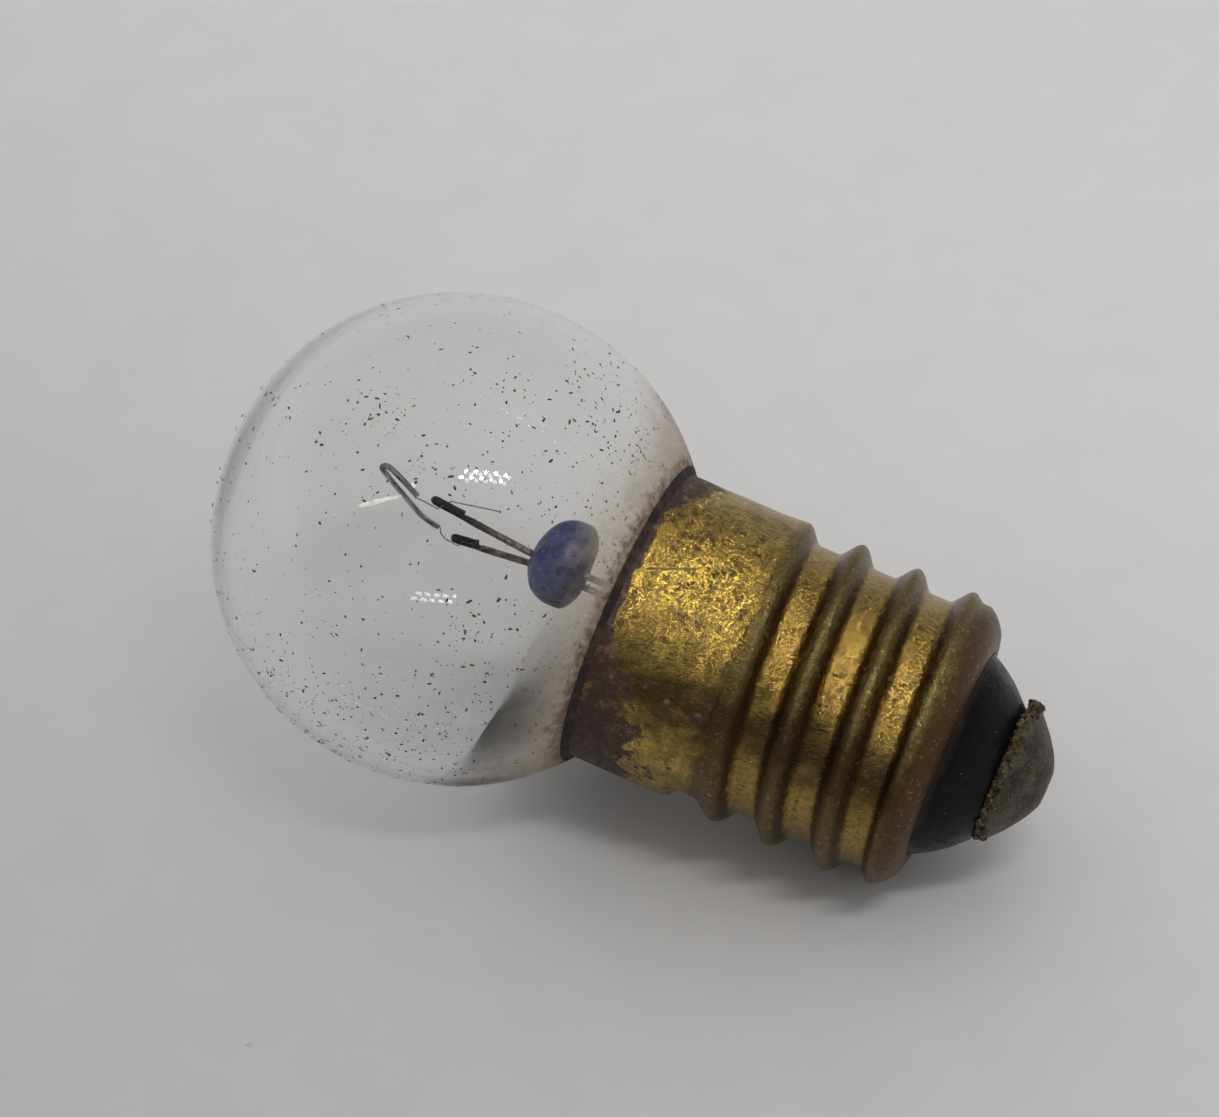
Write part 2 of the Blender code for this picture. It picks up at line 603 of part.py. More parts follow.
wires = lead_runs()
body = [glass_envelope(clear_glass), screw_shell(tarnished_brass)]
glass_bead(blue_glass, wires)
butt_seal(clear_glass, wires)
lead_wire("lead_wire_centre", wires["centre"], oxidised_wire)
lead_wire("lead_wire_shell", wires["shell"], oxidised_wire)
filament(tungsten, wires)
basing_cement(cement)
insulator(black_glass)
contact_eyelet(contact_brass)
body += [centre_solder(dull_solder), side_solder(dull_solder)]
bpy.context.view_layer.update()
lay_down(body)
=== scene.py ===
# Dead miniature screw lamp on pale paper: specked glass globe, broken filament, tarnished brass cap.
import json
import math
import random

import bmesh
import bpy
from mathutils import Euler, Matrix, Vector, noise


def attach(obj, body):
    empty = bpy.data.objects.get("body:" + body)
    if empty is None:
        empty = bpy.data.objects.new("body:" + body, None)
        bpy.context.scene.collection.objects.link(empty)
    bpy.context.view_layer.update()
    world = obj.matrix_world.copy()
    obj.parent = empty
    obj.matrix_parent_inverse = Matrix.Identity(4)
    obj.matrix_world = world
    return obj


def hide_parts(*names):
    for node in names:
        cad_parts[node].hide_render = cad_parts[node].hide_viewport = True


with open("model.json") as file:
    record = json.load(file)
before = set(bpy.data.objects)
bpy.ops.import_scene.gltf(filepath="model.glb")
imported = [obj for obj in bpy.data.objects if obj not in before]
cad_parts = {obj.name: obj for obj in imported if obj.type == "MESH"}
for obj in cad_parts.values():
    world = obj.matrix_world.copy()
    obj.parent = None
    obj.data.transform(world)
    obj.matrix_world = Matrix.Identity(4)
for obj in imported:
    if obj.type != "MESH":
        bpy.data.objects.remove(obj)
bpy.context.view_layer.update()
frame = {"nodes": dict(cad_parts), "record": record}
print("frame loaded with", len(frame["nodes"]), "nodes")

# Sizes that several pieces share, in mm. X runs along the lamp from the globe's centre to the contact,
# Y is the side that shows on top in the view and Z the side that faces it.
mm = 0.001
fullTurn = 2 * math.pi
lamp = {
    "globeRadius": 7.53, "collarRadius": 4.63, "rimOverGlobe": 0.17, "seat": 0.04, "sheet": 0.25,
    "capLength": 10.58, "neckRadius": 4.03, "neckLength": 2.05, "neckTaper": 1.25, "mouthRadius": 2.75,
    "unevenUntil": 4.5, "leadRadius": 0.125, "jointAngle": math.radians(270), "contactHeight": 3.0,
    "contactOffset": 0.20,
}
shoulderRadius = lamp["collarRadius"] + lamp["rimOverGlobe"]
rimX = math.sqrt(lamp["globeRadius"] ** 2 - shoulderRadius ** 2) + lamp["seat"]
capEndX = rimX + lamp["capLength"]
neckEndX = rimX + lamp["neckLength"]
mouthX = neckEndX + lamp["neckTaper"]

# The lamp lies tilted on the paper: its place is read from the contact's mount
contact = frame["record"]["mounts"][0]
tilt = math.atan2(-contact["axis"][2], contact["axis"][0])
lampTurn = Euler((math.radians(45), tilt, 0))
tipSpot = lampTurn.to_matrix() @ Vector((capEndX + lamp["contactHeight"], lamp["contactOffset"], 0))
globeCentre = Vector(contact["pos_m"]) - tipSpot * mm
lampPlace = Matrix.LocRotScale(globeCentre, lampTurn, Vector((mm, mm, mm)))


def smoothStep(low, high, value):
    t = min(max((value - low) / (high - low), 0.0), 1.0)
    return t * t * (3 - 2 * t)


def roughness(place, scale, seed=0.0):
    # A smooth random value from -1 to 1 that changes over about 1 / scale mm
    return noise.noise(Vector(place) * scale + Vector((seed, 2 * seed, -seed)))


# Mesh helpers

def spunShape(outline, steps):
    # A closed outline of (x, radius) turned about the lamp's axis
    shape = bmesh.new()
    dots = [shape.verts.new((x, radius, 0)) for x, radius in outline]
    onAxis = outline[0][1] == 0 and outline[-1][1] == 0
    ends = dots[1:] if onAxis else dots[1:] + dots[:1]
    edges = [shape.edges.new(pair) for pair in zip(dots, ends)]
    bmesh.ops.spin(shape, geom=dots + edges, cent=(0, 0, 0), axis=(1, 0, 0), angle=fullTurn,
                   steps=steps, use_merge=True)
    bmesh.ops.remove_doubles(shape, verts=shape.verts, dist=1e-4)
    bmesh.ops.recalc_face_normals(shape, faces=shape.faces)
    return shape


def meshOf(shape, name):
    mesh = bpy.data.meshes.new(name)
    shape.to_mesh(mesh)
    shape.free()
    return mesh


def addPiece(name, made, material, nodes=(), crease=40):
    # Puts a shape or mesh made in lamp millimetres on the lying lamp, in place of the CAD nodes named
    mesh = meshOf(made, name) if isinstance(made, bmesh.types.BMesh) else made
    mesh.transform(lampPlace)
    mesh.materials.clear()
    mesh.materials.append(material)
    mesh.shade_smooth()
    mesh.set_sharp_from_angle(angle=math.radians(crease))
    item = bpy.data.objects.new(name, mesh)
    bpy.context.scene.collection.objects.link(item)
    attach(item, "root")
    if nodes:
        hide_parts(*nodes)
    return item


def wireMesh(name, path, radius, sides=4):
    # A round wire along the points, closed at both ends
    curve = bpy.data.curves.new(name, "CURVE")
    curve.dimensions = "3D"
    curve.bevel_depth = radius
    curve.bevel_resolution = sides
    curve.use_fill_caps = True
    strand = curve.splines.new("POLY")
    strand.points.add(len(path) - 1)
    for point, place in zip(strand.points, path):
        point.co = (*place, 1.0)
    item = bpy.data.objects.new(name, curve)
    bpy.context.scene.collection.objects.link(item)
    mesh = bpy.data.meshes.new_from_object(item.evaluated_get(bpy.context.evaluated_depsgraph_get()))
    bpy.data.objects.remove(item)
    return mesh


def roundedPath(corners, bend, steps=8):
    # Straight runs joined by arcs
    path = [corners[0]]
    for before, corner, after in zip(corners, corners[1:], corners[2:]):
        back, ahead = (before - corner).normalized(), (after - corner).normalized()
        inner = back.angle(ahead)
        if math.pi - inner < math.radians(2):
            path.append(corner)
            continue
        reach = min(bend / math.tan(inner / 2), 0.499 * (before - corner).length,
                    0.499 * (after - corner).length)
        radius = reach * math.tan(inner / 2)
        centre = corner + (back + ahead).normalized() * radius / math.sin(inner / 2)
        first = (corner + back * reach - centre).normalized()
        last = (corner + ahead * reach - centre).normalized()
        path += [centre + first.slerp(last, step / steps) * radius for step in range(steps + 1)]
    return path + [corners[-1]]


def smoothPath(corners, steps):
    ends = [2 * corners[0] - corners[1]] + corners + [2 * corners[-1] - corners[-2]]
    path = []
    for a, b, c, d in zip(ends, ends[1:], ends[2:], ends[3:]):
        for step in range(steps):
            t = step / steps
            path.append(0.5 * (2 * b + (c - a) * t + (2 * a - 5 * b + 4 * c - d) * t * t
                               + (3 * b - a - 3 * c + d) * t ** 3))
    return path + [corners[-1]]


# Shader helpers

def addNode(tree, kind, inputs=None, **settings):
    node = tree.nodes.new("ShaderNode" + kind)
    for name, value in settings.items():
        setattr(node, name, value)
    for name, value in (inputs or {}).items():
        if isinstance(value, bpy.types.NodeSocket):
            tree.links.new(value, node.inputs[name])
        else:
            node.inputs[name].default_value = value
    return node


def calc(tree, operation, first, second=0.0):
    return addNode(tree, "Math", {0: first, 1: second}, operation=operation).outputs[0]


def times(tree, first, second):
    return calc(tree, "MULTIPLY", first, second)


def plus(tree, first, second):
    return calc(tree, "ADD", first, second)


def minus(tree, first, second):
    return calc(tree, "SUBTRACT", first, second)


def larger(tree, first, second):
    return calc(tree, "MAXIMUM", first, second)


def fade(tree, value, low, high, atLow=0.0, atHigh=1.0):
    return addNode(tree, "MapRange", {"Value": value, "From Min": low, "From Max": high, "To Min": atLow,
                                      "To Max": atHigh}, interpolation_type="SMOOTHSTEP").outputs[0]


def bump(tree, value, centre, width):
    # 1 at the centre, falling smoothly to 0 at width to either side
    return fade(tree, calc(tree, "ABSOLUTE", minus(tree, value, centre)), 0.0, width, 1.0, 0.0)


def mixColours(tree, share, first, second):
    node = addNode(tree, "Mix", {0: share}, data_type="RGBA")
    for socket, colour in ((node.inputs[6], first), (node.inputs[7], second)):
        if isinstance(colour, bpy.types.NodeSocket):
            tree.links.new(colour, socket)
        else:
            socket.default_value = (*colour, 1.0)
    return node.outputs[2]


def noiseOf(tree, vector, scale, detail=4.0, rough=0.55):
    return addNode(tree, "TexNoise", {"Vector": vector, "Scale": scale, "Detail": detail,
                                      "Roughness": rough}).outputs[0]


def newGroup(name, takes, gives):
    tree = bpy.data.node_groups.new(name, "ShaderNodeTree")
    for label, kind, value in takes:
        socket = tree.interface.new_socket(label, in_out="INPUT", socket_type="NodeSocket" + kind)
        if value is not None:
            socket.default_value = value
    for label in gives:
        tree.interface.new_socket(label, in_out="OUTPUT", socket_type="NodeSocketFloat")
    return tree, tree.nodes.new("NodeGroupInput").outputs, tree.nodes.new("NodeGroupOutput").inputs


def useGroup(tree, group, **inputs):
    return addNode(tree, "Group", inputs, node_tree=group).outputs


def newMaterial(name, settings):
    # A Principled material, its tree and the place on the lamp in mm
    material = bpy.data.materials.new(name)
    material.use_nodes = True
    tree = material.node_tree
    shader = tree.nodes["Principled BSDF"]
    for key, value in settings.items():
        shader.inputs[key].default_value = value
    place = addNode(tree, "Mapping", {"Vector": addNode(tree, "TexCoord").outputs["Object"],
                                      "Location": globeCentre, "Rotation": tuple(lampTurn),
                                      "Scale": (mm, mm, mm)}, vector_type="TEXTURE").outputs[0]
    return material, tree, shader, place


def feed(tree, shader, name, value):
    tree.links.new(value, shader.inputs[name])


def addBump(tree, shader, height, distance):
    node = addNode(tree, "Bump", {"Height": height, "Distance": distance * mm})
    feed(tree, shader, "Normal", node.outputs[0])


def patchMask(tree, place, scale, low, high, detail=5.0):
    return useGroup(tree, patches, Vector=place, Scale=scale, Detail=detail, Low=low, High=high)["Mask"]


def speckMask(tree, place, scale, size, share):
    return useGroup(tree, specks, Vector=place, Scale=scale, Size=size, Share=share)["Mask"]


# Where a point lies on the lamp: along from the cap's rim, around from the side that faces the view,
# and away from the axis
lampWays, taken, given = newGroup("lampWays", [("Vector", "Vector", None)], ["Along", "Around", "Radius"])
split = addNode(lampWays, "SeparateXYZ", {0: taken["Vector"]}).outputs
lampWays.links.new(minus(lampWays, split["X"], rimX), given["Along"])
lampWays.links.new(calc(lampWays, "ARCTAN2", times(lampWays, split["Y"], -1.0), split["Z"]),
                   given["Around"])
squares = plus(lampWays, times(lampWays, split["Y"], split["Y"]),
               times(lampWays, split["Z"], split["Z"]))
lampWays.links.new(calc(lampWays, "SQRT", squares), given["Radius"])

# Ragged patches of patina, dust or film
patches, taken, given = newGroup(
    "patches", [("Vector", "Vector", None), ("Scale", "Float", 1.0), ("Detail", "Float", 5.0),
                ("Low", "Float", 0.45), ("High", "Float", 0.55)], ["Mask"])
cloud = noiseOf(patches, taken["Vector"], taken["Scale"], taken["Detail"], 0.62)
patches.links.new(fade(patches, cloud, taken["Low"], taken["High"]), given["Mask"])

# Small round specks, in a share of the cells
specks, taken, given = newGroup(
    "specks", [("Vector", "Vector", None), ("Scale", "Float", 4.0), ("Size", "Float", 0.2),
               ("Share", "Float", 0.3)], ["Mask"])
wobble = addNode(specks, "TexNoise", {"Vector": taken["Vector"], "Scale": 9.0, "Detail": 2.0}).outputs[1]
shifted = addNode(specks, "VectorMath", {0: wobble, 1: (0.16, 0.16, 0.16)}, operation="MULTIPLY").outputs[0]
shifted = addNode(specks, "VectorMath", {0: taken["Vector"], 1: shifted}, operation="ADD").outputs[0]
cells = addNode(specks, "TexVoronoi", {"Vector": shifted, "Scale": taken["Scale"]}).outputs
cellTone = addNode(specks, "SeparateColor", {0: cells["Color"]}).outputs[0]
chosen = calc(specks, "LESS_THAN", cellTone, taken["Share"])
inside = addNode(specks, "MapRange", {"Value": cells["Distance"], "To Min": 1.0, "To Max": 0.0,
                                      "From Min": times(specks, taken["Size"], 0.6),
                                      "From Max": taken["Size"]}).outputs[0]
specks.links.new(times(specks, chosen, inside), given["Mask"])

# Fine grain with a few longer rub marks, for bumps
grain, taken, given = newGroup("grain", [("Vector", "Vector", None), ("Scale", "Float", 10.0),
                                         ("Rubs", "Float", 0.4)], ["Height"])
pits = noiseOf(grain, taken["Vector"], taken["Scale"], 5.0, 0.68)
leaned = addNode(grain, "Mapping", {"Vector": taken["Vector"], "Rotation": (0.5, 0.2, 0.7),
                                    "Scale": (0.35, 3.2, 3.2)})
rubbed = fade(grain, noiseOf(grain, leaned.outputs[0], times(grain, taken["Scale"], 0.45), 2.0, 0.5),
              0.56, 0.64)
grain.links.new(minus(grain, pits, times(grain, rubbed, taken["Rubs"])), given["Height"])
print("node groups built")


# Brass of the screw cap

brassLook = {
    # dull serves both the dull tarnish patches and the painted shade of the streak
    "sheen": (0.58, 0.40, 0.090), "olive": (0.36, 0.240, 0.062), "dull": (0.075, 0.046, 0.020),
    "groove": (0.43, 0.285, 0.072), "flank": (0.095, 0.050, 0.018), "crest": (0.165, 0.118, 0.042),
    "patina": (0.032, 0.014, 0.009), "patinaLight": (0.125, 0.068, 0.024), "end": (0.100, 0.052, 0.024),
    "bandWidth": 0.34, "topWedge": 0.85, "wedgeAt": -1.30, "wedgeWidth": 0.62, "lowPatch": 2.0,
    "lowFrom": 0.02, "lowTo": 0.85, "threadStart": 3.95, "endStart": 9.98,
    # distances from the axis at which the thread's tones change
    "grooveLevel": (4.20, 4.32), "flankLevel": (4.21, 4.34), "crestLevel": (4.44, 4.62),
    # shadeAt and shadeWidth place the painted shade streak round the cap, in radians from the side that shows
    "shadeAt": 0.40, "shadeWidth": 0.52, "scratchFrom": 0.50, "scratchTo": 1.95, "scratchAround": -0.25,
    "scratchSlope": -0.10, "scratchWidth": 0.014,
    "spots": ((3.59, 26.2, 0.23), (2.65, 24.8, 0.11), (3.28, 54.9, 0.13), (1.15, 52.0, 0.18)),
}


def brassMaterial(look):
    material, tree, shader, place = newMaterial("tarnishedBrass", {"Metallic": 1.0, "Roughness": 0.38})
    ways = useGroup(tree, lampWays, Vector=place)
    along, around, radius = ways["Along"], ways["Around"], ways["Radius"]
    # olive film over the bare metal, in clouds and in streaks round the sleeve
    streaks = addNode(tree, "Mapping", {"Vector": place, "Scale": (3.4, 0.5, 0.5)}).outputs[0]
    cloud = plus(tree, times(tree, noiseOf(tree, place, 0.8, 6.0, 0.6), 0.6),
                 times(tree, noiseOf(tree, streaks, 1.6, 4.0, 0.6), 0.4))
    colour = mixColours(tree, fade(tree, cloud, 0.38, 0.60), look["sheen"], look["olive"])
    dull = patchMask(tree, place, 2.1, 0.53, 0.66)
    colour = mixColours(tree, times(tree, dull, 0.65), colour, look["dull"])
    # a darker streak runs along the whole cap, below the side that shows: partly tarnish, partly painted
    # shade standing in for a dark reflection
    uneven = times(tree, minus(tree, noiseOf(tree, place, 1.7, 5.0, 0.65), 0.5), 0.8)
    tarnishAndPaintedShade = bump(tree, plus(tree, around, uneven), look["shadeAt"], look["shadeWidth"])
    flecks = patchMask(tree, place, 8.5, 0.52, 0.60)
    flecksAndPaintedShade = larger(tree, times(tree, tarnishAndPaintedShade, 0.95), times(tree, flecks, 0.62))
    # thread: bare gold grooves, red-brown flanks, dull crests
    onThread = fade(tree, along, look["threadStart"] - 0.25, look["threadStart"] + 0.45)
    uneven = times(tree, minus(tree, noiseOf(tree, place, 2.4, 5.0, 0.6), 0.5), 0.34)
    level = plus(tree, radius, uneven)
    flank = times(tree, onThread, fade(tree, level, *look["flankLevel"]))
    crest = times(tree, onThread, fade(tree, level, *look["crestLevel"]))
    groove = times(tree, onThread, fade(tree, level, *look["grooveLevel"], 1.0, 0.0))
    glints = patchMask(tree, place, 7.0, 0.60, 0.70, 3.0)
    crestTone = mixColours(tree, times(tree, glints, 0.8), look["crest"], look["sheen"])
    colour = mixColours(tree, groove, colour, look["groove"])
    colour = mixColours(tree, flank, colour, look["flank"])
    colour = mixColours(tree, crest, colour, crestTone)
    # painted shade: the streak, with the flecks, pulls the metal to the dull tone here
    colour = mixColours(tree, flecksAndPaintedShade, colour, look["dull"])
    # purple-brown patina along the rim: a wedge on top and a broad patch below
    wedge = bump(tree, around, look["wedgeAt"], look["wedgeWidth"])
    width = plus(tree, look["bandWidth"], times(tree, wedge, look["topWedge"]))
    below = fade(tree, around, look["lowFrom"], look["lowTo"])
    width = plus(tree, width, times(tree, below, look["lowPatch"]))
    ragged = plus(tree, times(tree, noiseOf(tree, place, 1.3, 2.0, 0.5), 0.9),
                  times(tree, noiseOf(tree, place, 5.5, 4.0, 0.6), 0.8))
    reach = calc(tree, "DIVIDE", along, width)
    patina = fade(tree, plus(tree, reach, times(tree, minus(tree, ragged, 0.85), 1.5)), 0.86, 1.06, 1.0, 0.0)
    endBand = fade(tree, plus(tree, along, times(tree, ragged, 0.35)), look["endStart"] + 0.15,
                   look["endStart"] + 0.50)
    spots = 0.0
    for x, degrees, size in look["spots"]:
        turn = math.radians(degrees)
        spot = (rimX + x, -lamp["collarRadius"] * math.sin(turn), lamp["collarRadius"] * math.cos(turn))
        away = addNode(tree, "VectorMath", {0: place, 1: spot}, operation="DISTANCE").outputs["Value"]
        away = plus(tree, away, times(tree, minus(tree, ragged, 0.85), 0.12))
        spots = larger(tree, spots, fade(tree, away, 0.75 * size, size, 1.0, 0.0))
    # a thin dark scratch over the collar
    line = plus(tree, look["scratchAround"], times(tree, along, look["scratchSlope"]))
    scratch = bump(tree, minus(tree, around, line), 0.0, look["scratchWidth"])
    middle = (look["scratchFrom"] + look["scratchTo"]) / 2
    half = (look["scratchTo"] - look["scratchFrom"]) / 2
    fromMiddle = calc(tree, "ABSOLUTE", minus(tree, along, middle))
    scratch = times(tree, scratch, fade(tree, fromMiddle, half - 0.1, half, 1.0, 0.0))
    spots = larger(tree, spots, scratch)
    freckles = speckMask(tree, place, 2.6, 0.20, 0.34)
    dark = larger(tree, larger(tree, patina, spots), times(tree, freckles, 0.8))
    colour = mixColours(tree, endBand, colour, mixColours(tree, glints, look["end"], look["olive"]))
    lighter = patchMask(tree, place, 3.0, 0.50, 0.68)
    patinaTone = mixColours(tree, lighter, look["patina"], look["patinaLight"])
    colour = mixColours(tree, dark, colour, patinaTone)
    feed(tree, shader, "Base Color", colour)
    matt = larger(tree, dark, times(tree, endBand, 0.6))
    rough = plus(tree, fade(tree, cloud, 0.38, 0.62, 0.14, 0.25), times(tree, matt, 0.32))
    rough = plus(tree, rough, times(tree, crest, 0.10))
    rough = minus(tree, rough, times(tree, groove, 0.06))
    feed(tree, shader, "Roughness", rough)
    feed(tree, shader, "Metallic", minus(tree, 1.0, times(tree, dark, 0.75)))
    height = useGroup(tree, grain, Vector=place, Scale=10.0, Rubs=0.30)["Height"]
    addBump(tree, shader, height, 0.045)
    return material


# Screw cap: sleeve, pressed thread, rounded end and a ragged rim

shellSizes = {
    "steps": 260, "station": 0.055, "boreStation": 0.35, "crest": 4.72, "root": 4.17, "pitch": 1.814,
    "firstCrest": 5.70, "crestHalfWidth": 0.33, "endRounding": 1.23, "endShoulder": 3.65, "endHole": 3.30,
    "notchWidth": 0.46, "notchDepth": 0.62, "dents": 0.016, "ragged": 0.05, "raggedReach": 0.45,
    "ring": 4.5,  # radius at which the dents and the ragged rim are read
    # how the collar rises to the first crest, in shares of its distance, and how the end rounds off
    "rise": (0.73, 1.2), "endPowers": (1.7, 0.62),
    # the thread is pressed in faintly at first and then fully, in turns
    "faintTurns": (0.0, 0.31), "faintShare": 0.12, "fullTurns": (0.37, 0.55), "crestPower": 0.8,
    # fine line pressed round the collar's foot
    "lineAt": 3.86, "lineRise": 0.42, "lineHalfWidth": 0.055, "lineDepth": 0.035, "lineFade": (0.05, 0.12),
}


def threadSurface(size, x, angle):
    # Outer radius of the cap: a plain collar that runs into a rolled, rounded thread
    along = x - rimX
    first = size["firstCrest"] - size["pitch"]
    rise = smoothStep(size["rise"][0] * first, size["rise"][1] * first, along)
    level = lamp["collarRadius"] + (size["crest"] - lamp["collarRadius"]) * rise
    intoEnd = min(max((x - capEndX) / size["endRounding"] + 1, 0.0), 1.0)
    bow, power = size["endPowers"]
    level = size["endShoulder"] + (level - size["endShoulder"]) * (1 - intoEnd ** bow) ** power
    share = (angle / fullTurn) % 1.0
    turns = (along - first + size["pitch"] / 2) / size["pitch"] - share
    groove = math.floor(turns + 0.5)
    fromCrest = 0.5 - abs(turns - groove)
    crest = 0.5 + 0.5 * math.cos(math.pi * min(fromCrest / size["crestHalfWidth"], 1.0))
    crest = crest ** size["crestPower"]
    cutIn = groove + share
    strength = size["faintShare"] * smoothStep(*size["faintTurns"], cutIn)
    strength += (1 - size["faintShare"]) * smoothStep(*size["fullTurns"], cutIn)
    strength *= 1 - smoothStep(capEndX - size["endRounding"], capEndX - 0.47 * size["endRounding"], x)
    depth = min(size["crest"] - size["root"], max(level - size["root"], 0.0))
    fromLine = abs(along - size["lineAt"] - size["lineRise"] * share)
    line = max(0.0, 1 - fromLine / size["lineHalfWidth"]) * smoothStep(*size["lineFade"], share)
    return level - depth * strength * (1 - crest) - size["lineDepth"] * line


def stations(start, end, spacing):
    count = max(2, round((end - start) / spacing))
    return [start + (end - start) * step / count for step in range(count + 1)]


def makeShell(size, material):
    bore = lamp["collarRadius"] - lamp["sheet"]
    insideX = capEndX - lamp["sheet"]
    ring = size["ring"]
    outer = [(x, lamp["collarRadius"]) for x in stations(rimX + 0.03, capEndX - 0.06, size["station"])]
    endFace = [(capEndX, size["endShoulder"] - 0.05), (capEndX, size["endHole"] + 0.04),
               (capEndX - 0.04, size["endHole"])]
    inner = [(insideX, size["endHole"]), (insideX, size["endShoulder"] - 0.12)]
    inner += [(x, bore) for x in reversed(stations(rimX, insideX - 0.10, size["boreStation"]))]
    rim = [(rimX, lamp["collarRadius"] - 0.04)]
    shape = spunShape(outer + endFace + inner + rim, size["steps"])
    for vert in shape.verts:
        radius = math.hypot(vert.co.y, vert.co.z)
        if radius < size["endShoulder"]:
            continue
        angle = math.atan2(vert.co.z, vert.co.y)
        isBore = radius < lamp["collarRadius"] - 0.5 * lamp["sheet"]
        inset = lamp["collarRadius"] - radius
        shift = smoothStep(insideX - 0.10 - size["endRounding"], insideX - 0.10, vert.co.x)
        x = vert.co.x + (0.4 * lamp["sheet"] * shift if isBore else 0)
        pressed = threadSurface(size, x, angle) - inset
        if not isBore:
            spot = (vert.co.x, ring * math.cos(angle), ring * math.sin(angle))
            pressed += size["dents"] * (roughness(spot, 0.55, 3) + 0.45 * roughness(spot, 1.9, 8))
        near = 1 - smoothStep(0.0, size["raggedReach"], vert.co.x - rimX)
        spot = (ring * math.cos(angle), ring * math.sin(angle), 0)
        vert.co.x += near * size["ragged"] * (roughness(spot, 1.4, 5) + 0.7 * roughness(spot, 5.0, 9))
        vert.co.y, vert.co.z = pressed * math.cos(angle), pressed * math.sin(angle)
    # the slot at the rim where the lead wire comes out
    notch = bmesh.new()
    bmesh.ops.create_cube(notch, size=1.0)
    cutAt = Matrix.Rotation(lamp["jointAngle"], 4, "X") @ Matrix.Translation((rimX, lamp["collarRadius"], 0))
    block = (2 * size["notchDepth"], 4 * lamp["sheet"], size["notchWidth"], 1.0)
    notch.transform(cutAt @ Matrix.Diagonal(block))
    whole = bpy.data.objects.new("wholeShell", meshOf(shape, "wholeShell"))
    cutter = bpy.data.objects.new("rimNotch", meshOf(notch, "rimNotch"))
    for item in (whole, cutter):
        bpy.context.scene.collection.objects.link(item)
    slot = whole.modifiers.new("notch", "BOOLEAN")
    slot.operation, slot.solver, slot.object = "DIFFERENCE", "EXACT", cutter
    mesh = bpy.data.meshes.new_from_object(whole.evaluated_get(bpy.context.evaluated_depsgraph_get()))
    bpy.data.objects.remove(whole)
    bpy.data.objects.remove(cutter)
    return addPiece("brassShell", mesh, material, ["screw_shell"], 50)


brassShell = makeShell(shellSizes, brassMaterial(brassLook))
print("screw cap made")


# Globe: blown glass, a little thicker towards the pole, smoked near the cap

glassLook = {
    "tint": (0.985, 0.99, 0.985), "smoked": (0.82, 0.78, 0.71), "shadeFlat": (0.975, 0.975, 0.975),
    "shadeEdge": (0.80, 0.80, 0.80), "ior": 1.42,
}
globeSizes = {"rings": 96, "steps": 160, "wall": 0.10, "thickSpot": (-0.95, 0.04, 0.30), "thickMore": 0.32,
              "flat": 0.10, "fillet": 0.30, "waves": 0.008}


def glassMaterial(name, look):
    material, tree, shader, place = newMaterial(
        name, {"Transmission Weight": 1.0, "Roughness": 0.0, "IOR": look["ior"], "Metallic": 0.0})
    along = useGroup(tree, lampWays, Vector=place)["Along"]
    cloud = noiseOf(tree, place, 0.7, 1.0, 0.6)
    smoked = fade(tree, plus(tree, along, times(tree, cloud, 1.2)), -2.0, 0.9)
    feed(tree, shader, "Base Color", mixColours(tree, times(tree, smoked, 0.8), look["tint"], look["smoked"]))
    # lamps shine through clear glass, a little less where it turns away
    clear = addNode(tree, "BsdfTransparent")
    edge = addNode(tree, "LayerWeight", {"Blend": 0.35}).outputs["Facing"]
    tree.links.new(mixColours(tree, edge, look["shadeFlat"], look["shadeEdge"]), clear.inputs[0])
    path = addNode(tree, "LightPath").outputs
    through = larger(tree, path["Is Shadow Ray"], path["Is Diffuse Ray"])
    both = addNode(tree, "MixShader", {0: through, 1: shader.outputs[0], 2: clear.outputs[0]})
    tree.links.new(both.outputs[0], tree.nodes["Material Output"].inputs["Surface"])
    return material


clearGlass = glassMaterial("clearGlass", glassLook)


def globeSkin(place, lift=0.0):
    # blown glass is never quite round
    wave = roughness(place, 0.16, 4) + 0.3 * roughness(place, 0.45, 7)
    return place * (1 + (globeSizes["waves"] * wave + lift) / lamp["globeRadius"])


def onGlobe(way):
    return Vector(way).normalized() * lamp["globeRadius"]


def globeOutline(size, isOuter, stop):
    # Points of the globe's outer or inner face from the pole to the lean where the neck begins
    points = []
    for step in range(size["rings"] + 1):
        lean = stop * step / size["rings"]
        facing = max(math.cos(lean), 0)
        flat = size["flat"] * facing ** 8
        reach = lamp["globeRadius"] - (0 if isOuter else size["wall"])
        points.append((-(reach - flat) * math.cos(lean), reach * math.sin(lean) if step else 0))
    return points


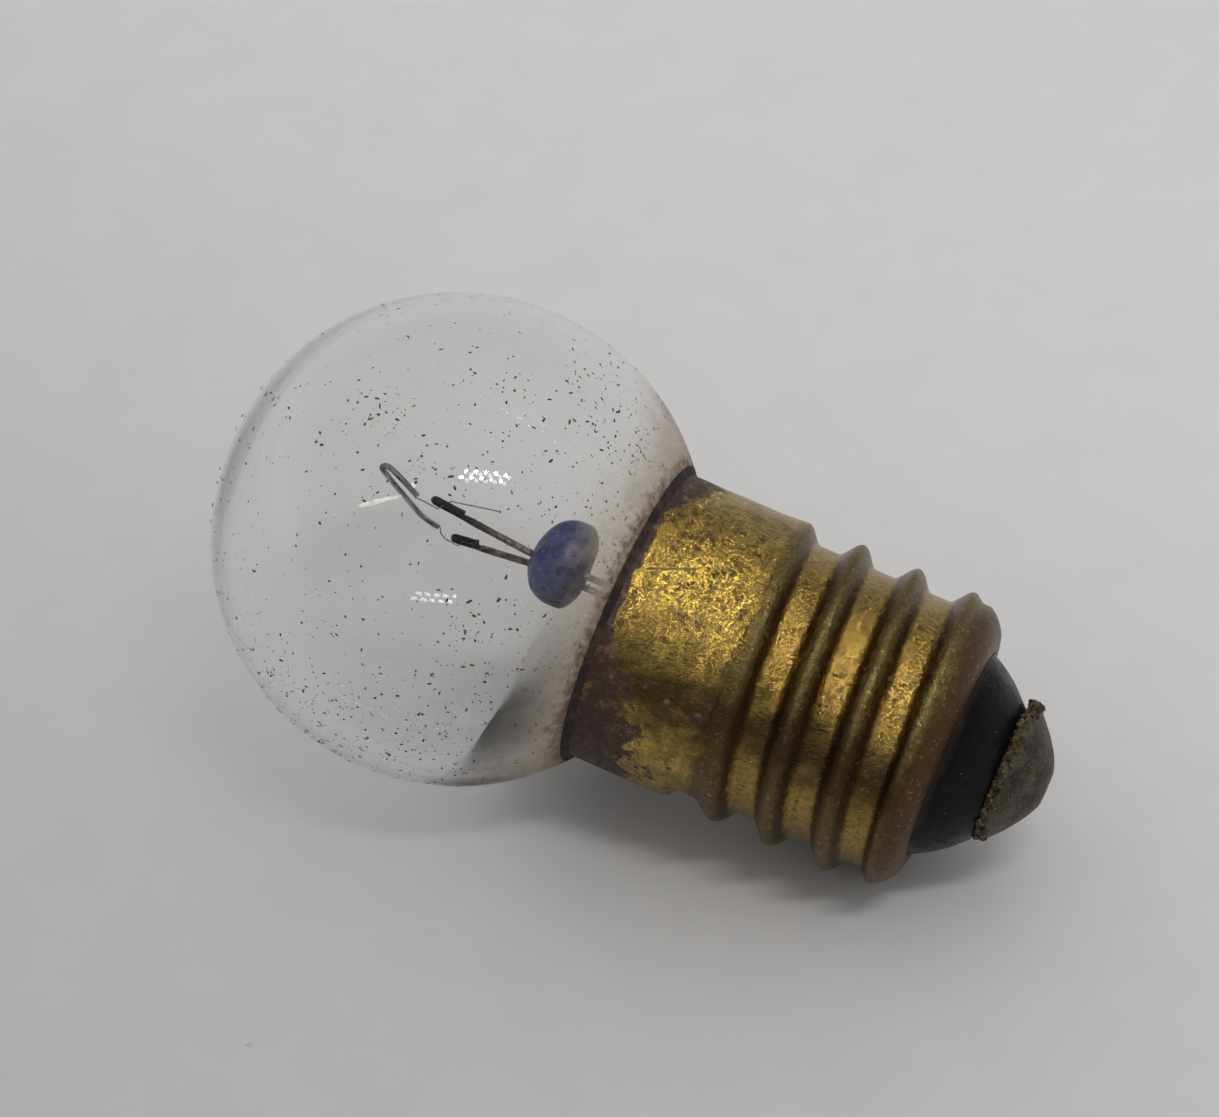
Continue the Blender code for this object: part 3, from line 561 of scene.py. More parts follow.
def makeGlobe(size, material):
    shoulder = math.asin(shoulderRadius / lamp["globeRadius"])
    outer = globeOutline(size, True, math.pi - shoulder)
    inner = [p for p in globeOutline(size, False, math.pi - shoulder) if p[0] < rimX - 1.2 * size["wall"]]
    neck, wall = lamp["neckRadius"], size["wall"]
    filletX = rimX + size["fillet"]
    slope = math.atan2(neck - lamp["mouthRadius"], lamp["neckTaper"])
    outer += [(rimX - 0.02, lamp["collarRadius"] - lamp["sheet"] - lamp["seat"]),
              (rimX + 0.10, neck + 0.13), (rimX + 0.18, neck + 0.05), (filletX, neck), (neckEndX, neck),
              (mouthX, lamp["mouthRadius"])]
    inner += [(rimX - 0.5 * wall, neck - 0.1 * wall), (filletX - 0.1, neck - 0.9 * wall),
              (filletX, neck - wall), (neckEndX - wall * math.tan(slope / 2), neck - wall),
              (mouthX, lamp["mouthRadius"] - wall / math.cos(slope))]
    shape = spunShape(outer + inner[::-1], size["steps"])
    thickSpot = Vector(size["thickSpot"]).normalized()
    for vert in shape.verts:
        if vert.co.x < lamp["unevenUntil"]:
            way = vert.co.normalized()
            isInner = vert.co.length + size["flat"] * max(-way.x, 0) ** 9 < lamp["globeRadius"] - 0.5 * wall
            thicker = size["thickMore"] * (0.5 + 0.5 * way.dot(thickSpot)) ** 4 if isInner else 0
            vert.co = globeSkin(vert.co, -thicker)
    return addPiece("glassGlobe", shape, material, ["glass_envelope"], 30)


makeGlobe(globeSizes, clearGlass)
print("globe made")


# Haze that has settled on the glass next to the cap

hazeLook = {"milk": (0.46, 0.40, 0.34), "stain": (0.14, 0.085, 0.045), "start": -3.1, "full": 0.1,
            "most": 0.54, "nearClear": 1.25}
hazeSizes = {"from": 2.3, "to": 5.78, "rings": 30, "steps": 96, "lift": 0.014, "thickness": 0.02}


def hazeMaterial(look):
    material, tree, shader, place = newMaterial("neckHaze", {"Roughness": 0.7, "Specular IOR Level": 0.3})
    ways = useGroup(tree, lampWays, Vector=place)
    along = ways["Along"]
    cloud = minus(tree, noiseOf(tree, place, 0.75, 2.0, 0.6), 0.5)
    fine = minus(tree, noiseOf(tree, place, 4.0, 3.0, 0.65), 0.5)
    level = plus(tree, along, plus(tree, times(tree, cloud, 2.4), fine))
    # the side that shows has been wiped cleaner
    wiped = fade(tree, calc(tree, "COSINE", ways["Around"]), -0.2, 0.8, 0.0, look["nearClear"])
    level = minus(tree, level, times(tree, wiped, fade(tree, along, -0.9, 0.0, 1.0, 0.25)))
    milk = fade(tree, level, look["start"], look["full"], 0.0, look["most"])
    edge = plus(tree, along, times(tree, fine, 1.6))
    stain = fade(tree, edge, -0.55, 0.15)
    feed(tree, shader, "Base Color", mixColours(tree, stain, look["milk"], look["stain"]))
    feed(tree, shader, "Alpha", plus(tree, milk, times(tree, stain, 0.25)))
    return material


def makeHaze(size, material):
    def arc(lift, xs):
        radius = lamp["globeRadius"] + lift
        return [(x, math.sqrt(radius * radius - x * x)) for x in xs]

    xs = stations(size["from"], size["to"], (size["to"] - size["from"]) / size["rings"])
    shape = spunShape(arc(size["lift"] + size["thickness"], xs) + arc(size["lift"], xs[::-1]), size["steps"])
    for vert in shape.verts:
        if vert.co.x < lamp["unevenUntil"]:
            vert.co = globeSkin(vert.co)
    return addPiece("neckHaze", shape, material)


makeHaze(hazeSizes, hazeMaterial(hazeLook))


# Dirt: specks burnt and dried on the glass, and a crust of crumbs along the cap's rim

dirtLook = {"dark": (0.045, 0.031, 0.023), "brown": (0.190, 0.125, 0.080), "white": (0.92, 0.92, 0.90),
            "pale": (0.75, 0.74, 0.70), "soot": (0.016, 0.010, 0.008), "umber": (0.048, 0.028, 0.018)}
speckSizes = {
    "seed": 41, "scattered": 1700, "smallest": 0.012, "largest": 0.046, "flat": 0.4, "stretch": 1.6,
    "groupShare": 1.7, "ragged": 0.006,
    # x, up, near, spread and count of the thicker groups
    "groups": ((-2.25, 2.35, 6.79, 0.55, 22), (-0.13, 1.60, 7.36, 0.38, 14), (2.74, -2.29, 6.63, 0.42, 20),
               (3.1, 5.4, 4.23, 1.1, 26), (5.2, 3.9, 3.7, 0.8, 34), (5.5, 1.3, 4.9, 0.6, 30),
               (5.7, -1.6, 4.6, 0.5, 26), (5.5, -3.6, 3.5, 0.6, 24), (2.07, 3.43, 6.37, 0.8, 12),
               (3.45, 1.48, 6.53, 0.7, 14), (-2.01, -6.2, 3.6, 0.8, 20), (-0.6, -6.9, 2.6, 0.7, 16),
               (1.68, -6.57, 3.28, 0.8, 16), (3.93, -3.29, 5.52, 0.6, 12), (1.95, -5.23, 5.05, 0.7, 16),
               (-1.0, 0.3, 7.4, 0.25, 7), (-3.28, 4.58, -4.99, 0.9, 14), (3.2, 5.2, -4.4, 0.9, 20)),
    # x, up, near, radius and stretch of single ones
    "single": ((4.63, -3.27, 4.96, 0.085, 1.1), (5.52, 0.02, 5.12, 0.075, 2.4),
               (-3.69, 0.92, 6.50, 0.055, 1.0), (0.97, 4.60, 5.9, 0.050, 1.0), (-2.5, -1.2, 7.0, 0.045, 1.4)),
}
paleSizes = {
    "rows": (((0.97, 3.95, 6.34), (2.63, 3.71, 6.01), 9), ((-0.81, -5.26, 5.32), (2.70, -5.12, 4.82), 13)),
    "radius": 0.022, "single": (-0.32, 0.88, 7.47), "singleRadius": 0.055, "seed": 3,
}
crustSizes = {"seed": 7, "count": 300, "smallest": 0.018, "largest": 0.060, "before": 0.22, "after": 0.12,
              "steps": 420, "ragged": 0.040, "rough": 0.012, "ring": 4.7, "lumpShare": 0.25,
              "glassEdge": -0.05, "glassSlope": 1.15, "collarSlope": 0.1, "highest": 0.22,
              "profile": ((-0.09, 0.020), (-0.06, 0.040), (-0.02, 0.050), (0.03, 0.025))}


def dirtMaterial(name, look, first, second):
    material, tree, shader, place = newMaterial(name, {"Roughness": 0.8})
    mottle = patchMask(tree, place, 1.9, 0.48, 0.62, 3.0)
    feed(tree, shader, "Base Color", mixColours(tree, mottle, look[first], look[second]))
    addBump(tree, shader, noiseOf(tree, place, 22.0, 3.0, 0.6), 0.01)
    return material


ball = bmesh.new()
bmesh.ops.create_icosphere(ball, subdivisions=1, radius=1.0)
crumbMesh = meshOf(ball, "crumb")


def roughen(shape, amount, scale):
    for vert in shape.verts:
        vert.co += amount * Vector([roughness(vert.co, scale, seed) for seed in (1, 2, 3)])


def addCrumb(shape, place, outward, radius, stretch, flat, turn):
    # A flattened grain with its thin side along the outward way
    lean = outward.to_track_quat("Z", "Y").to_matrix().to_4x4()
    size = Matrix.Diagonal((radius * stretch, radius, radius * flat, 1.0))
    crumb = crumbMesh.copy()
    crumb.transform(Matrix.Translation(place) @ lean @ Matrix.Rotation(turn, 4, "Z") @ size)
    shape.from_mesh(crumb)
    bpy.data.meshes.remove(crumb)


def makeSpecks(size, material):
    dice = random.Random(size["seed"])
    shape = bmesh.new()
    places = []
    while len(places) < size["scattered"]:
        way = onGlobe((dice.gauss(0, 1), dice.gauss(0, 1), dice.gauss(0, 1)))
        thick = 0.22 + 0.78 * smoothStep(0.5, 5.2, way.x) + 0.45 * smoothStep(3.0, 6.5, -way.y)
        if way.x < rimX - 0.12 and dice.random() < thick:
            places.append(way)
    for x, up, near, spread, count in size["groups"]:
        for _ in range(round(size["groupShare"] * count)):
            way = onGlobe((dice.gauss(x, spread), dice.gauss(up, spread), dice.gauss(near, spread)))
            if way.x < rimX - 0.12:
                places.append(way)
    for place in places:
        radius = size["smallest"] + (size["largest"] - size["smallest"]) * dice.random() ** 2.4
        addCrumb(shape, globeSkin(place, 0.04 * radius), place.normalized(), radius,
                 1 + size["stretch"] * dice.random(), size["flat"], dice.uniform(0, math.pi))
    for x, up, near, radius, stretch in size["single"]:
        place = onGlobe((x, up, near))
        addCrumb(shape, globeSkin(place), place.normalized(), radius, stretch, size["flat"], 0.7)
    roughen(shape, size["ragged"], 17)
    return addPiece("glassSpecks", shape, material)


def makeCrust(size, material):
    # a ragged fillet of dirt that fills the seam between glass and rim, with crumbs on it
    dice = random.Random(size["seed"])
    outline = []
    for ahead, lift in size["profile"]:
        outline.append((rimX + ahead, math.sqrt(lamp["globeRadius"] ** 2 - (rimX + ahead) ** 2) + lift))
    outline += [(rimX + 0.10, lamp["collarRadius"] + 0.045), (rimX + 0.16, lamp["collarRadius"] - 0.01),
                (rimX - 0.03, lamp["collarRadius"] - 0.05),
                (rimX - 0.09, math.sqrt(lamp["globeRadius"] ** 2 - (rimX - 0.09) ** 2) - 0.02)]
    shape = spunShape(outline, size["steps"])
    for vert in shape.verts:
        radial = Vector((0, vert.co.y, vert.co.z)).normalized()
        ring = radial * size["ring"]
        wander = roughness(ring, 1.3, 3) + 0.8 * roughness(ring, 4.5, 8) + 0.5 * roughness(ring, 11.0, 2)
        onGlass = vert.co.x < rimX + size["glassEdge"]
        slide = (-1 if onGlass else 1) * size["ragged"] * wander
        lump = roughness(vert.co, 6.0, 4) + roughness(vert.co, 14.0, 6)
        lump *= size["lumpShare"] * size["ragged"]
        slope = size["glassSlope"] if onGlass else size["collarSlope"]
        vert.co += Vector((slide, 0, 0)) + radial * (lump - slope * slide)
    for _ in range(size["count"]):
        x = rimX + dice.uniform(-size["before"], size["after"])
        angle = dice.uniform(0, fullTurn)
        skin = math.sqrt(lamp["globeRadius"] ** 2 - x * x) if x < rimX else lamp["collarRadius"]
        radius = size["smallest"] + (size["largest"] - size["smallest"]) * dice.random() ** 2
        away = min(skin, lamp["collarRadius"] + size["highest"]) + 0.2 * radius
        place = Vector((x, away * math.cos(angle), away * math.sin(angle)))
        addCrumb(shape, place, Vector((0.3, math.cos(angle), math.sin(angle))).normalized(), radius,
                 dice.uniform(0.8, 1.9), dice.uniform(0.5, 1.0), dice.uniform(0, math.pi))
    roughen(shape, size["rough"], 13)
    return addPiece("rimCrust", shape, material)


def makePaleGrains(size, material):
    dice = random.Random(size["seed"])
    shape = bmesh.new()
    for start, end, count in size["rows"]:
        for step in range(count):
            way = Vector(start).lerp(Vector(end), (step + dice.uniform(-0.35, 0.35)) / (count - 1))
            way = onGlobe(way + Vector((0, dice.uniform(-0.07, 0.07), 0)))
            addCrumb(shape, globeSkin(way), way.normalized(), size["radius"] * dice.uniform(0.6, 1.4),
                     dice.uniform(1.0, 2.2), 0.5, dice.uniform(-0.5, 0.5))
    way = Vector(size["single"]).normalized()
    for shift in (-1, 1):
        place = way * lamp["globeRadius"] + Vector((0.5 * shift, -0.3 * shift, 0)) * size["singleRadius"]
        addCrumb(shape, place, way, size["singleRadius"], 1.1, 0.4, 0.6 * shift)
    return addPiece("paleGrains", shape, material)


makeSpecks(speckSizes, dirtMaterial("dirtSpecks", dirtLook, "dark", "brown"))
makePaleGrains(paleSizes, dirtMaterial("paleGrains", dirtLook, "white", "pale"))
makeCrust(crustSizes, dirtMaterial("rimCrust", dirtLook, "soot", "umber"))


# A white fibre stuck to the glass

lintLook = {"pale": (0.86, 0.84, 0.80), "shaded": (0.62, 0.60, 0.57)}
lintSizes = {"start": (-1.56, -0.32, 7.36), "end": (-0.50, 0.45, 7.5), "radius": 0.085, "steps": 14,
             "flat": 0.4}


def makeLint(size, look):
    material, tree, shader, place = newMaterial("lint", {"Roughness": 0.6})
    tone = fade(tree, noiseOf(tree, place, 6.0, 3.0, 0.6), 0.4, 0.6)
    feed(tree, shader, "Base Color", mixColours(tree, tone, look["pale"], look["shaded"]))
    path = []
    for step in range(size["steps"] + 1):
        way = Vector(size["start"]).lerp(Vector(size["end"]), step / size["steps"])
        path.append(globeSkin(onGlobe(way), 0.012))
    mesh = wireMesh("lint", path, size["radius"], 3)
    for vert in mesh.vertices:
        nearest = min(path, key=lambda spot: (spot - vert.co).length)
        share = path.index(nearest) / size["steps"]
        taper = 0.55 + 0.45 * math.sin(math.pi * min(1.0, 0.12 + 0.95 * share))
        away = (vert.co - nearest) * (taper + 0.2 * roughness(nearest, 4.0, 2))
        outward = nearest.normalized()
        vert.co = nearest + away - outward * away.dot(outward) * (1 - size["flat"])
    return addPiece("lint", mesh, material)


makeLint(lintSizes, lintLook)
print("haze, specks, crust and lint made")


# Mount: two folded lead wires held by a bead, with the filament clamped in their hooks

mountSizes = {
    "beadBeforeRim": 2.60, "beadRadius": 1.38, "beadThickness": 1.86, "beadRise": 0.60, "beadWidest": 0.60,
    "frontCurve": 2.0, "backCurve": 2.6, "beadRings": 40, "beadSteps": 64, "beadLumps": 0.075,
    "bend": 0.155, "hold": 0.20, "rise": 0.10, "sealThickness": 0.60, "tail": 0.72, "turn": 0.62,
    "exhaust": 2.30, "wireGap": 0.025, "notchDepth": 0.62, "scale": 0.007, "skirt": 1.15, "slim": 0.014,
    "pinch": 0.020, "pinchReach": (0.1, 0.25), "station": 0.12, "solderAt": 1.56,
    # the way in which each wire folds back, and where and how far the two have spread behind the bead
    "foldWay": (0, 0.33, 0.944), "spreadAt": 1.6, "spread": 0.35,
    "leads": {
        "centre": {"reach": 4.30, "fold": 1.05, "hook": (0.76, 0.655), "bead": (0.50, 0.35),
                   "seal": (0.62, 1.53)},
        "shell": {"reach": 3.50, "fold": 0.88, "hook": (-0.06, -0.81), "bead": (0.20, -0.35),
                  "seal": (0.16, -1.53)},
    },
}
wireLook = {
    "maroon": (0.105, 0.062, 0.052), "grey": (0.260, 0.220, 0.200), "black": (0.016, 0.013, 0.012),
    "rust": (0.130, 0.055, 0.032), "blackFrom": 0.15, "blackTo": 1.20,
}
beadX = rimX - mountSizes["beadBeforeRim"]
beadFront = beadX - 0.5 * mountSizes["beadThickness"]
solderX = capEndX + mountSizes["solderAt"]


def leadCorners(size):
    corners = {}
    for key, lead in size["leads"].items():
        towards = Vector((beadFront - size["rise"], *lead["bead"]))
        tip = Vector((beadX - lead["reach"], *lead["hook"]))
        run = (towards - tip).normalized()
        away = Vector(size["foldWay"])
        away = (away - run * away.dot(run)).normalized() * 2 * size["bend"]
        seal = [near + size["spread"] * (far - near) for near, far in zip(lead["bead"], lead["seal"])]
        corners[key] = [tip + away + run * lead["fold"], tip + away, tip, towards,
                        Vector((beadX + size["spreadAt"] * size["beadThickness"], *seal)),
                        Vector((mouthX - size["sealThickness"] - 4 * lamp["leadRadius"], *lead["seal"])),
                        Vector((mouthX + size["tail"], *lead["seal"]))]
    corners["centre"] += [Vector((mouthX + size["exhaust"], *size["leads"]["centre"]["seal"])),
                          Vector((capEndX - lamp["sheet"] - size["skirt"], 0, 0)),
                          Vector((solderX - 0.5 * lamp["seat"], 0, 0))]
    outside = lamp["neckRadius"] + lamp["leadRadius"] + size["wireGap"]
    notchX = rimX + size["notchDepth"] - lamp["leadRadius"] - size["wireGap"]
    corners["shell"] += [Vector((mouthX + size["turn"], 0, -lamp["mouthRadius"])),
                         Vector((neckEndX + size["rise"], 0, -outside)), Vector((notchX, 0, -outside)),
                         Vector((notchX, 0, -lamp["collarRadius"]))]
    return corners


def wireMaterial(look):
    material, tree, shader, place = newMaterial("oxidisedWire", {"Metallic": 0.45})
    along = addNode(tree, "SeparateXYZ", {0: place}).outputs[0]
    cloud = noiseOf(tree, place, 5.5, 4.0, 0.62)
    flakes = patchMask(tree, place, 12.0, 0.50, 0.62, 3.0)
    colour = mixColours(tree, fade(tree, cloud, 0.42, 0.60), look["maroon"], look["grey"])
    colour = mixColours(tree, times(tree, flakes, 0.6), colour, look["rust"])
    burnt = plus(tree, along, times(tree, minus(tree, cloud, 0.5), 2.0))
    burnt = fade(tree, burnt, look["blackFrom"], look["blackTo"], 1.0, 0.0)
    colour = mixColours(tree, burnt, colour, look["black"])
    feed(tree, shader, "Base Color", colour)
    feed(tree, shader, "Roughness", fade(tree, cloud, 0.35, 0.65, 0.38, 0.62))
    addBump(tree, shader, plus(tree, cloud, flakes), 0.012)
    return material


def makeLead(size, key, corners, material):
    path = roundedPath(corners[:4], size["bend"])[:-1] + roundedPath(corners[3:], 3 * size["bend"])
    fine = [path[0]]
    for before, after in zip(path, path[1:]):
        parts = max(1, round((after - before).length / size["station"]))
        fine += [before.lerp(after, part / parts) for part in range(1, parts + 1)]
    mesh = wireMesh(key + "Lead", fine, lamp["leadRadius"], 5)
    ahead, behind = size["pinchReach"]
    for vert in mesh.vertices:
        scale = Vector((roughness(vert.co, 5, 1), roughness(vert.co, 5, 2), roughness(vert.co, 5, 3)))
        pinched = 1 - smoothStep(corners[0].x - ahead, corners[0].x + behind, vert.co.x)
        vert.co -= vert.normal * (size["slim"] + size["pinch"] * pinched)
        vert.co += size["scale"] * (scale + 0.6 * roughness(vert.co, 15, 4) * vert.normal)
    node = "lead_wire_" + key
    return addPiece(key + "Lead", mesh, material, [node], 50)


leads = leadCorners(mountSizes)
oxidisedWire = wireMaterial(wireLook)
for key in leads:
    makeLead(mountSizes, key, leads[key], oxidisedWire)

beadLook = {
    "deep": (0.006, 0.014, 0.105), "blue": (0.018, 0.030, 0.128), "pale": (0.080, 0.096, 0.200),
    "dark": (0.004, 0.006, 0.022), "bubble": (0.20, 0.23, 0.36),
}


def beadMaterial(look):
    material, tree, shader, place = newMaterial(
        "beadGlass", {"Transmission Weight": 0.15, "IOR": 1.5, "Specular IOR Level": 0.25, "Roughness": 0.36,
                      "Metallic": 0.0})
    # painted light: the colour is darkest in the middle and palest at the rim, standing in for light shining
    # through the thinner glass there
    centre = Vector((beadX + 0.05, mountSizes["beadRise"] + 0.15, 0.2))
    away = addNode(tree, "VectorMath", {0: place, 1: centre}, operation="DISTANCE").outputs["Value"]
    cloud = noiseOf(tree, place, 1.9, 5.0, 0.65)
    level = plus(tree, away, times(tree, minus(tree, cloud, 0.5), 1.3))
    colour = mixColours(tree, fade(tree, level, 0.55, 1.05), look["deep"], look["blue"])
    colour = mixColours(tree, fade(tree, level, 0.95, 1.40, 0.0, 0.95), colour, look["pale"])
    threads = patchMask(tree, place, 3.6, 0.51, 0.60)
    colour = mixColours(tree, times(tree, threads, 0.72), colour, look["dark"])
    bubbles = speckMask(tree, place, 6.0, 0.28, 0.30)
    colour = mixColours(tree, times(tree, bubbles, 0.55), colour, look["bubble"])
    feed(tree, shader, "Base Color", colour)
    addBump(tree, shader, plus(tree, times(tree, cloud, 1.5), bubbles), 0.035)
    return material


def makeBead(size, material):
    outline = []
    for step in range(size["beadRings"] + 1):
        share = 0.5 - 0.5 * math.cos(math.pi * step / size["beadRings"])
        length, curve = size["beadWidest"], size["frontCurve"]
        if share > size["beadWidest"]:
            length, curve = 1 - size["beadWidest"], size["backCurve"]
        fromWidest = abs(share - size["beadWidest"]) / length
        swell = (1 - fromWidest ** curve) ** (1 / curve) if 0 < step < size["beadRings"] else 0
        outline.append((beadFront + size["beadThickness"] * share, size["beadRadius"] * swell))
    shape = spunShape(outline, size["beadSteps"])
    centre = Vector((beadX, 0, 0))
    for vert in shape.verts:
        lump = roughness(vert.co, 0.75, 6) + 0.35 * roughness(vert.co, 2.2, 2)
        vert.co = centre + (vert.co - centre) * (1 + size["beadLumps"] * lump)
        vert.co.y += size["beadRise"]
    return addPiece("bead", shape, material, ["glass_bead"], 60)


makeBead(mountSizes, beadMaterial(beadLook))
print("leads and bead made")

filamentSizes = {
    "wire": 0.021, "coil": 0.098, "pitch": 0.062, "turnSteps": 10, "along": 0.12,
    "tail": (2.02, 1.27, 0.62), "enter": (-0.22, 0.64, 0.84),
    "loop": ((-0.50, 0.70, 0.80), (-1.15, 0.97, 0.66), (-1.80, 1.18, 0.42), (-2.05, 1.10, 0.22),
             (-1.84, 0.93, 0.02), (-1.10, 0.55, -0.24), (-0.40, 0.22, -0.46), (0.20, 0.10, -0.58)),
    "kink": ((0.33, -0.04, -0.62), (0.52, -0.14, -0.66)), "ball": 0.042,
}
filamentLook = {"grey": (0.235, 0.235, 0.235), "dark": (0.060, 0.058, 0.056), "pale": (0.42, 0.42, 0.41)}


def filamentMaterial(look):
    material, tree, shader, place = newMaterial("tungsten", {"Metallic": 0.7, "Roughness": 0.42})
    cloud = noiseOf(tree, place, 3.4, 3.0, 0.6)
    colour = mixColours(tree, fade(tree, cloud, 0.36, 0.50), look["dark"], look["grey"])
    colour = mixColours(tree, fade(tree, cloud, 0.58, 0.70), colour, look["pale"])
    feed(tree, shader, "Base Color", colour)
    feed(tree, shader, "Roughness", fade(tree, cloud, 0.35, 0.65, 0.36, 0.58))
    addBump(tree, shader, noiseOf(tree, place, 30.0, 2.0, 0.6), 0.004)
    return material


def woundPath(size, spine):
    # A helix wound round the spine, with the frame carried along it so that it never flips
    lengths = [0.0]
    for before, after in zip(spine, spine[1:]):
        lengths.append(lengths[-1] + (after - before).length)
    count = round(lengths[-1] / size["pitch"] * size["turnSteps"])
    side = (spine[1] - spine[0]).orthogonal().normalized()
    path, place = [], 0
    for step in range(count + 1):
        reach = lengths[-1] * step / count
        while place < len(spine) - 2 and lengths[place + 1] < reach:
            place += 1
        share = (reach - lengths[place]) / (lengths[place + 1] - lengths[place])
        run = (spine[place + 1] - spine[place]).normalized()
        side = (side - run * side.dot(run)).normalized()
        turn = fullTurn * step / size["turnSteps"]
        ring = side * math.cos(turn) + run.cross(side) * math.sin(turn)
        path.append(spine[place].lerp(spine[place + 1], share) + ring * (size["coil"] - size["wire"]))
    return path


def makeFilament(size, corners, material):
    tipX = corners["centre"][2].x
    clamps, along, across = [], [], []
    for key in ("centre", "shell"):
        tip = corners[key]
        run = (tip[3] - tip[2]).normalized()
        clamps.append((tip[1] + tip[2]) / 2 + run * (mountSizes["bend"] + mountSizes["hold"]))
        along.append(run * size["along"])
        across.append((tip[1] - tip[2]).normalized().cross(run) * (lamp["leadRadius"] + 4 * size["wire"]))

    def spot(place):
        return Vector((tipX + place[0], place[1], place[2]))

    path = smoothPath([spot(size["tail"]), clamps[0] + along[0] + across[0]], 6)
    path += [clamps[0], clamps[0] - along[0] - across[0], spot(size["enter"])]
    path += woundPath(size, smoothPath([spot(place) for place in size["loop"]], 14))
    path += [spot(place) for place in size["kink"]] + [clamps[1] - along[1] - across[1], clamps[1]]
    mesh = wireMesh("filament", path, size["wire"], 1)
    shape = bmesh.new()
    shape.from_mesh(mesh)
    bmesh.ops.create_icosphere(shape, subdivisions=2, radius=size["ball"],
                               matrix=Matrix.Translation(spot(size["tail"])))
    return addPiece("woundFilament", shape, material, ["filament"], 60)


makeFilament(filamentSizes, leads, filamentMaterial(filamentLook))
print("filament wound")


# Black glass insulator in the cap's end

insulatorSizes = {
    "skirt": 3.88, "skirtBack": 1.15, "flange": 3.49, "hole": 3.26, "tip": 2.10, "length": 1.52,
    "bulge": 0.12, "seat": 1.72, "seatDepth": 0.26, "tube": 0.66, "tubeDepth": 0.84, "wireHole": 0.40,
    "holeDepth": 0.55, "rings": 24, "steps": 128, "waves": 0.022,
}
blackLook = {"black": (0.0035, 0.0037, 0.0045), "dust": (0.11, 0.10, 0.09), "brown": (0.030, 0.020, 0.014)}


def blackMaterial(look):
    material, tree, shader, place = newMaterial("blackGlass", {"IOR": 1.5, "Specular IOR Level": 0.13})
    cloud = noiseOf(tree, place, 1.6, 5.0, 0.62)
    dusty = patchMask(tree, place, 2.6, 0.55, 0.78, 6.0)
    grains = speckMask(tree, place, 4.5, 0.17, 0.20)
    along = useGroup(tree, lampWays, Vector=place)["Along"]
    lip = fade(tree, plus(tree, along, times(tree, cloud, 0.5)), lamp["capLength"] + 0.20,
               lamp["capLength"] + 0.50, 1.0, 0.0)
    colour = mixColours(tree, times(tree, dusty, 0.10), look["black"], look["dust"])
    colour = mixColours(tree, times(tree, lip, 0.7), colour, look["brown"])
    colour = mixColours(tree, times(tree, grains, 0.6), colour, look["dust"])
    feed(tree, shader, "Base Color", colour)
    rough = plus(tree, fade(tree, cloud, 0.35, 0.65, 0.26, 0.42), times(tree, dusty, 0.25))
    feed(tree, shader, "Roughness", rough)
    addBump(tree, shader, plus(tree, cloud, times(tree, grains, 0.4)), 0.05)
    return material


def makeInsulator(size, material):
    skirtX, insideX = capEndX - lamp["sheet"] - size["skirtBack"], capEndX - lamp["sheet"] - lamp["seat"]
    outline = [(skirtX, size["skirt"]), (insideX - 0.55, size["skirt"]), (insideX, size["flange"]),
               (insideX, size["hole"])]
    for step in range(size["rings"] + 1):
        share = step / size["rings"]
        bulge = size["bulge"] * math.sin(math.pi * share)
        radius = size["hole"] + (size["tip"] - size["hole"]) * share + bulge
        outline.append((capEndX + size["length"] * share, radius))
    tipX = capEndX + size["length"]
    seatX = tipX - size["seatDepth"]
    tubeX = seatX - size["tubeDepth"]
    outline += [(tipX, size["seat"]), (seatX, size["seat"]), (seatX, size["tube"]), (tubeX, size["tube"]),
                (tubeX, size["wireHole"]), (tubeX - size["holeDepth"], size["wireHole"]),
                (skirtX, 0.62 * size["skirt"])]
    shape = spunShape(outline, size["steps"])
    for vert in shape.verts:
        radial = Vector((0, vert.co.y, vert.co.z))
        shown = smoothStep(capEndX + 0.02, capEndX + 0.3, vert.co.x)
        shown *= smoothStep(size["seat"], size["tip"], radial.length)
        wave = roughness(vert.co, 0.7, 3) + 0.4 * roughness(vert.co, 2.6, 5)
        vert.co += radial.normalized() * shown * size["waves"] * wave
    return addPiece("blackInsulator", shape, material, ["insulator"], 40)


makeInsulator(insulatorSizes, blackMaterial(blackLook))


# Solder: a dull lump with a crumbly lip on the contact, and the joint at the cap's rim

solderLook = {
    "grey": (0.105, 0.088, 0.062), "dark": (0.026, 0.020, 0.014), "pale": (0.34, 0.30, 0.23),
    "rust": (0.070, 0.044, 0.022), "gold": (0.24, 0.165, 0.062),
}
solderSizes = {
    "radius": 2.18, "height": 1.44, "flat": 0.50, "shoulder": 0.22, "offset": 0.20, "rings": 44, "steps": 150,
    "lumps": 0.06, "lip": 0.22, "crumbs": 230, "seed": 12, "smallest": 0.03, "largest": 0.15,
    "sideRadius": 0.85, "sideHeight": 0.34, "sideAlong": 0.89,
}


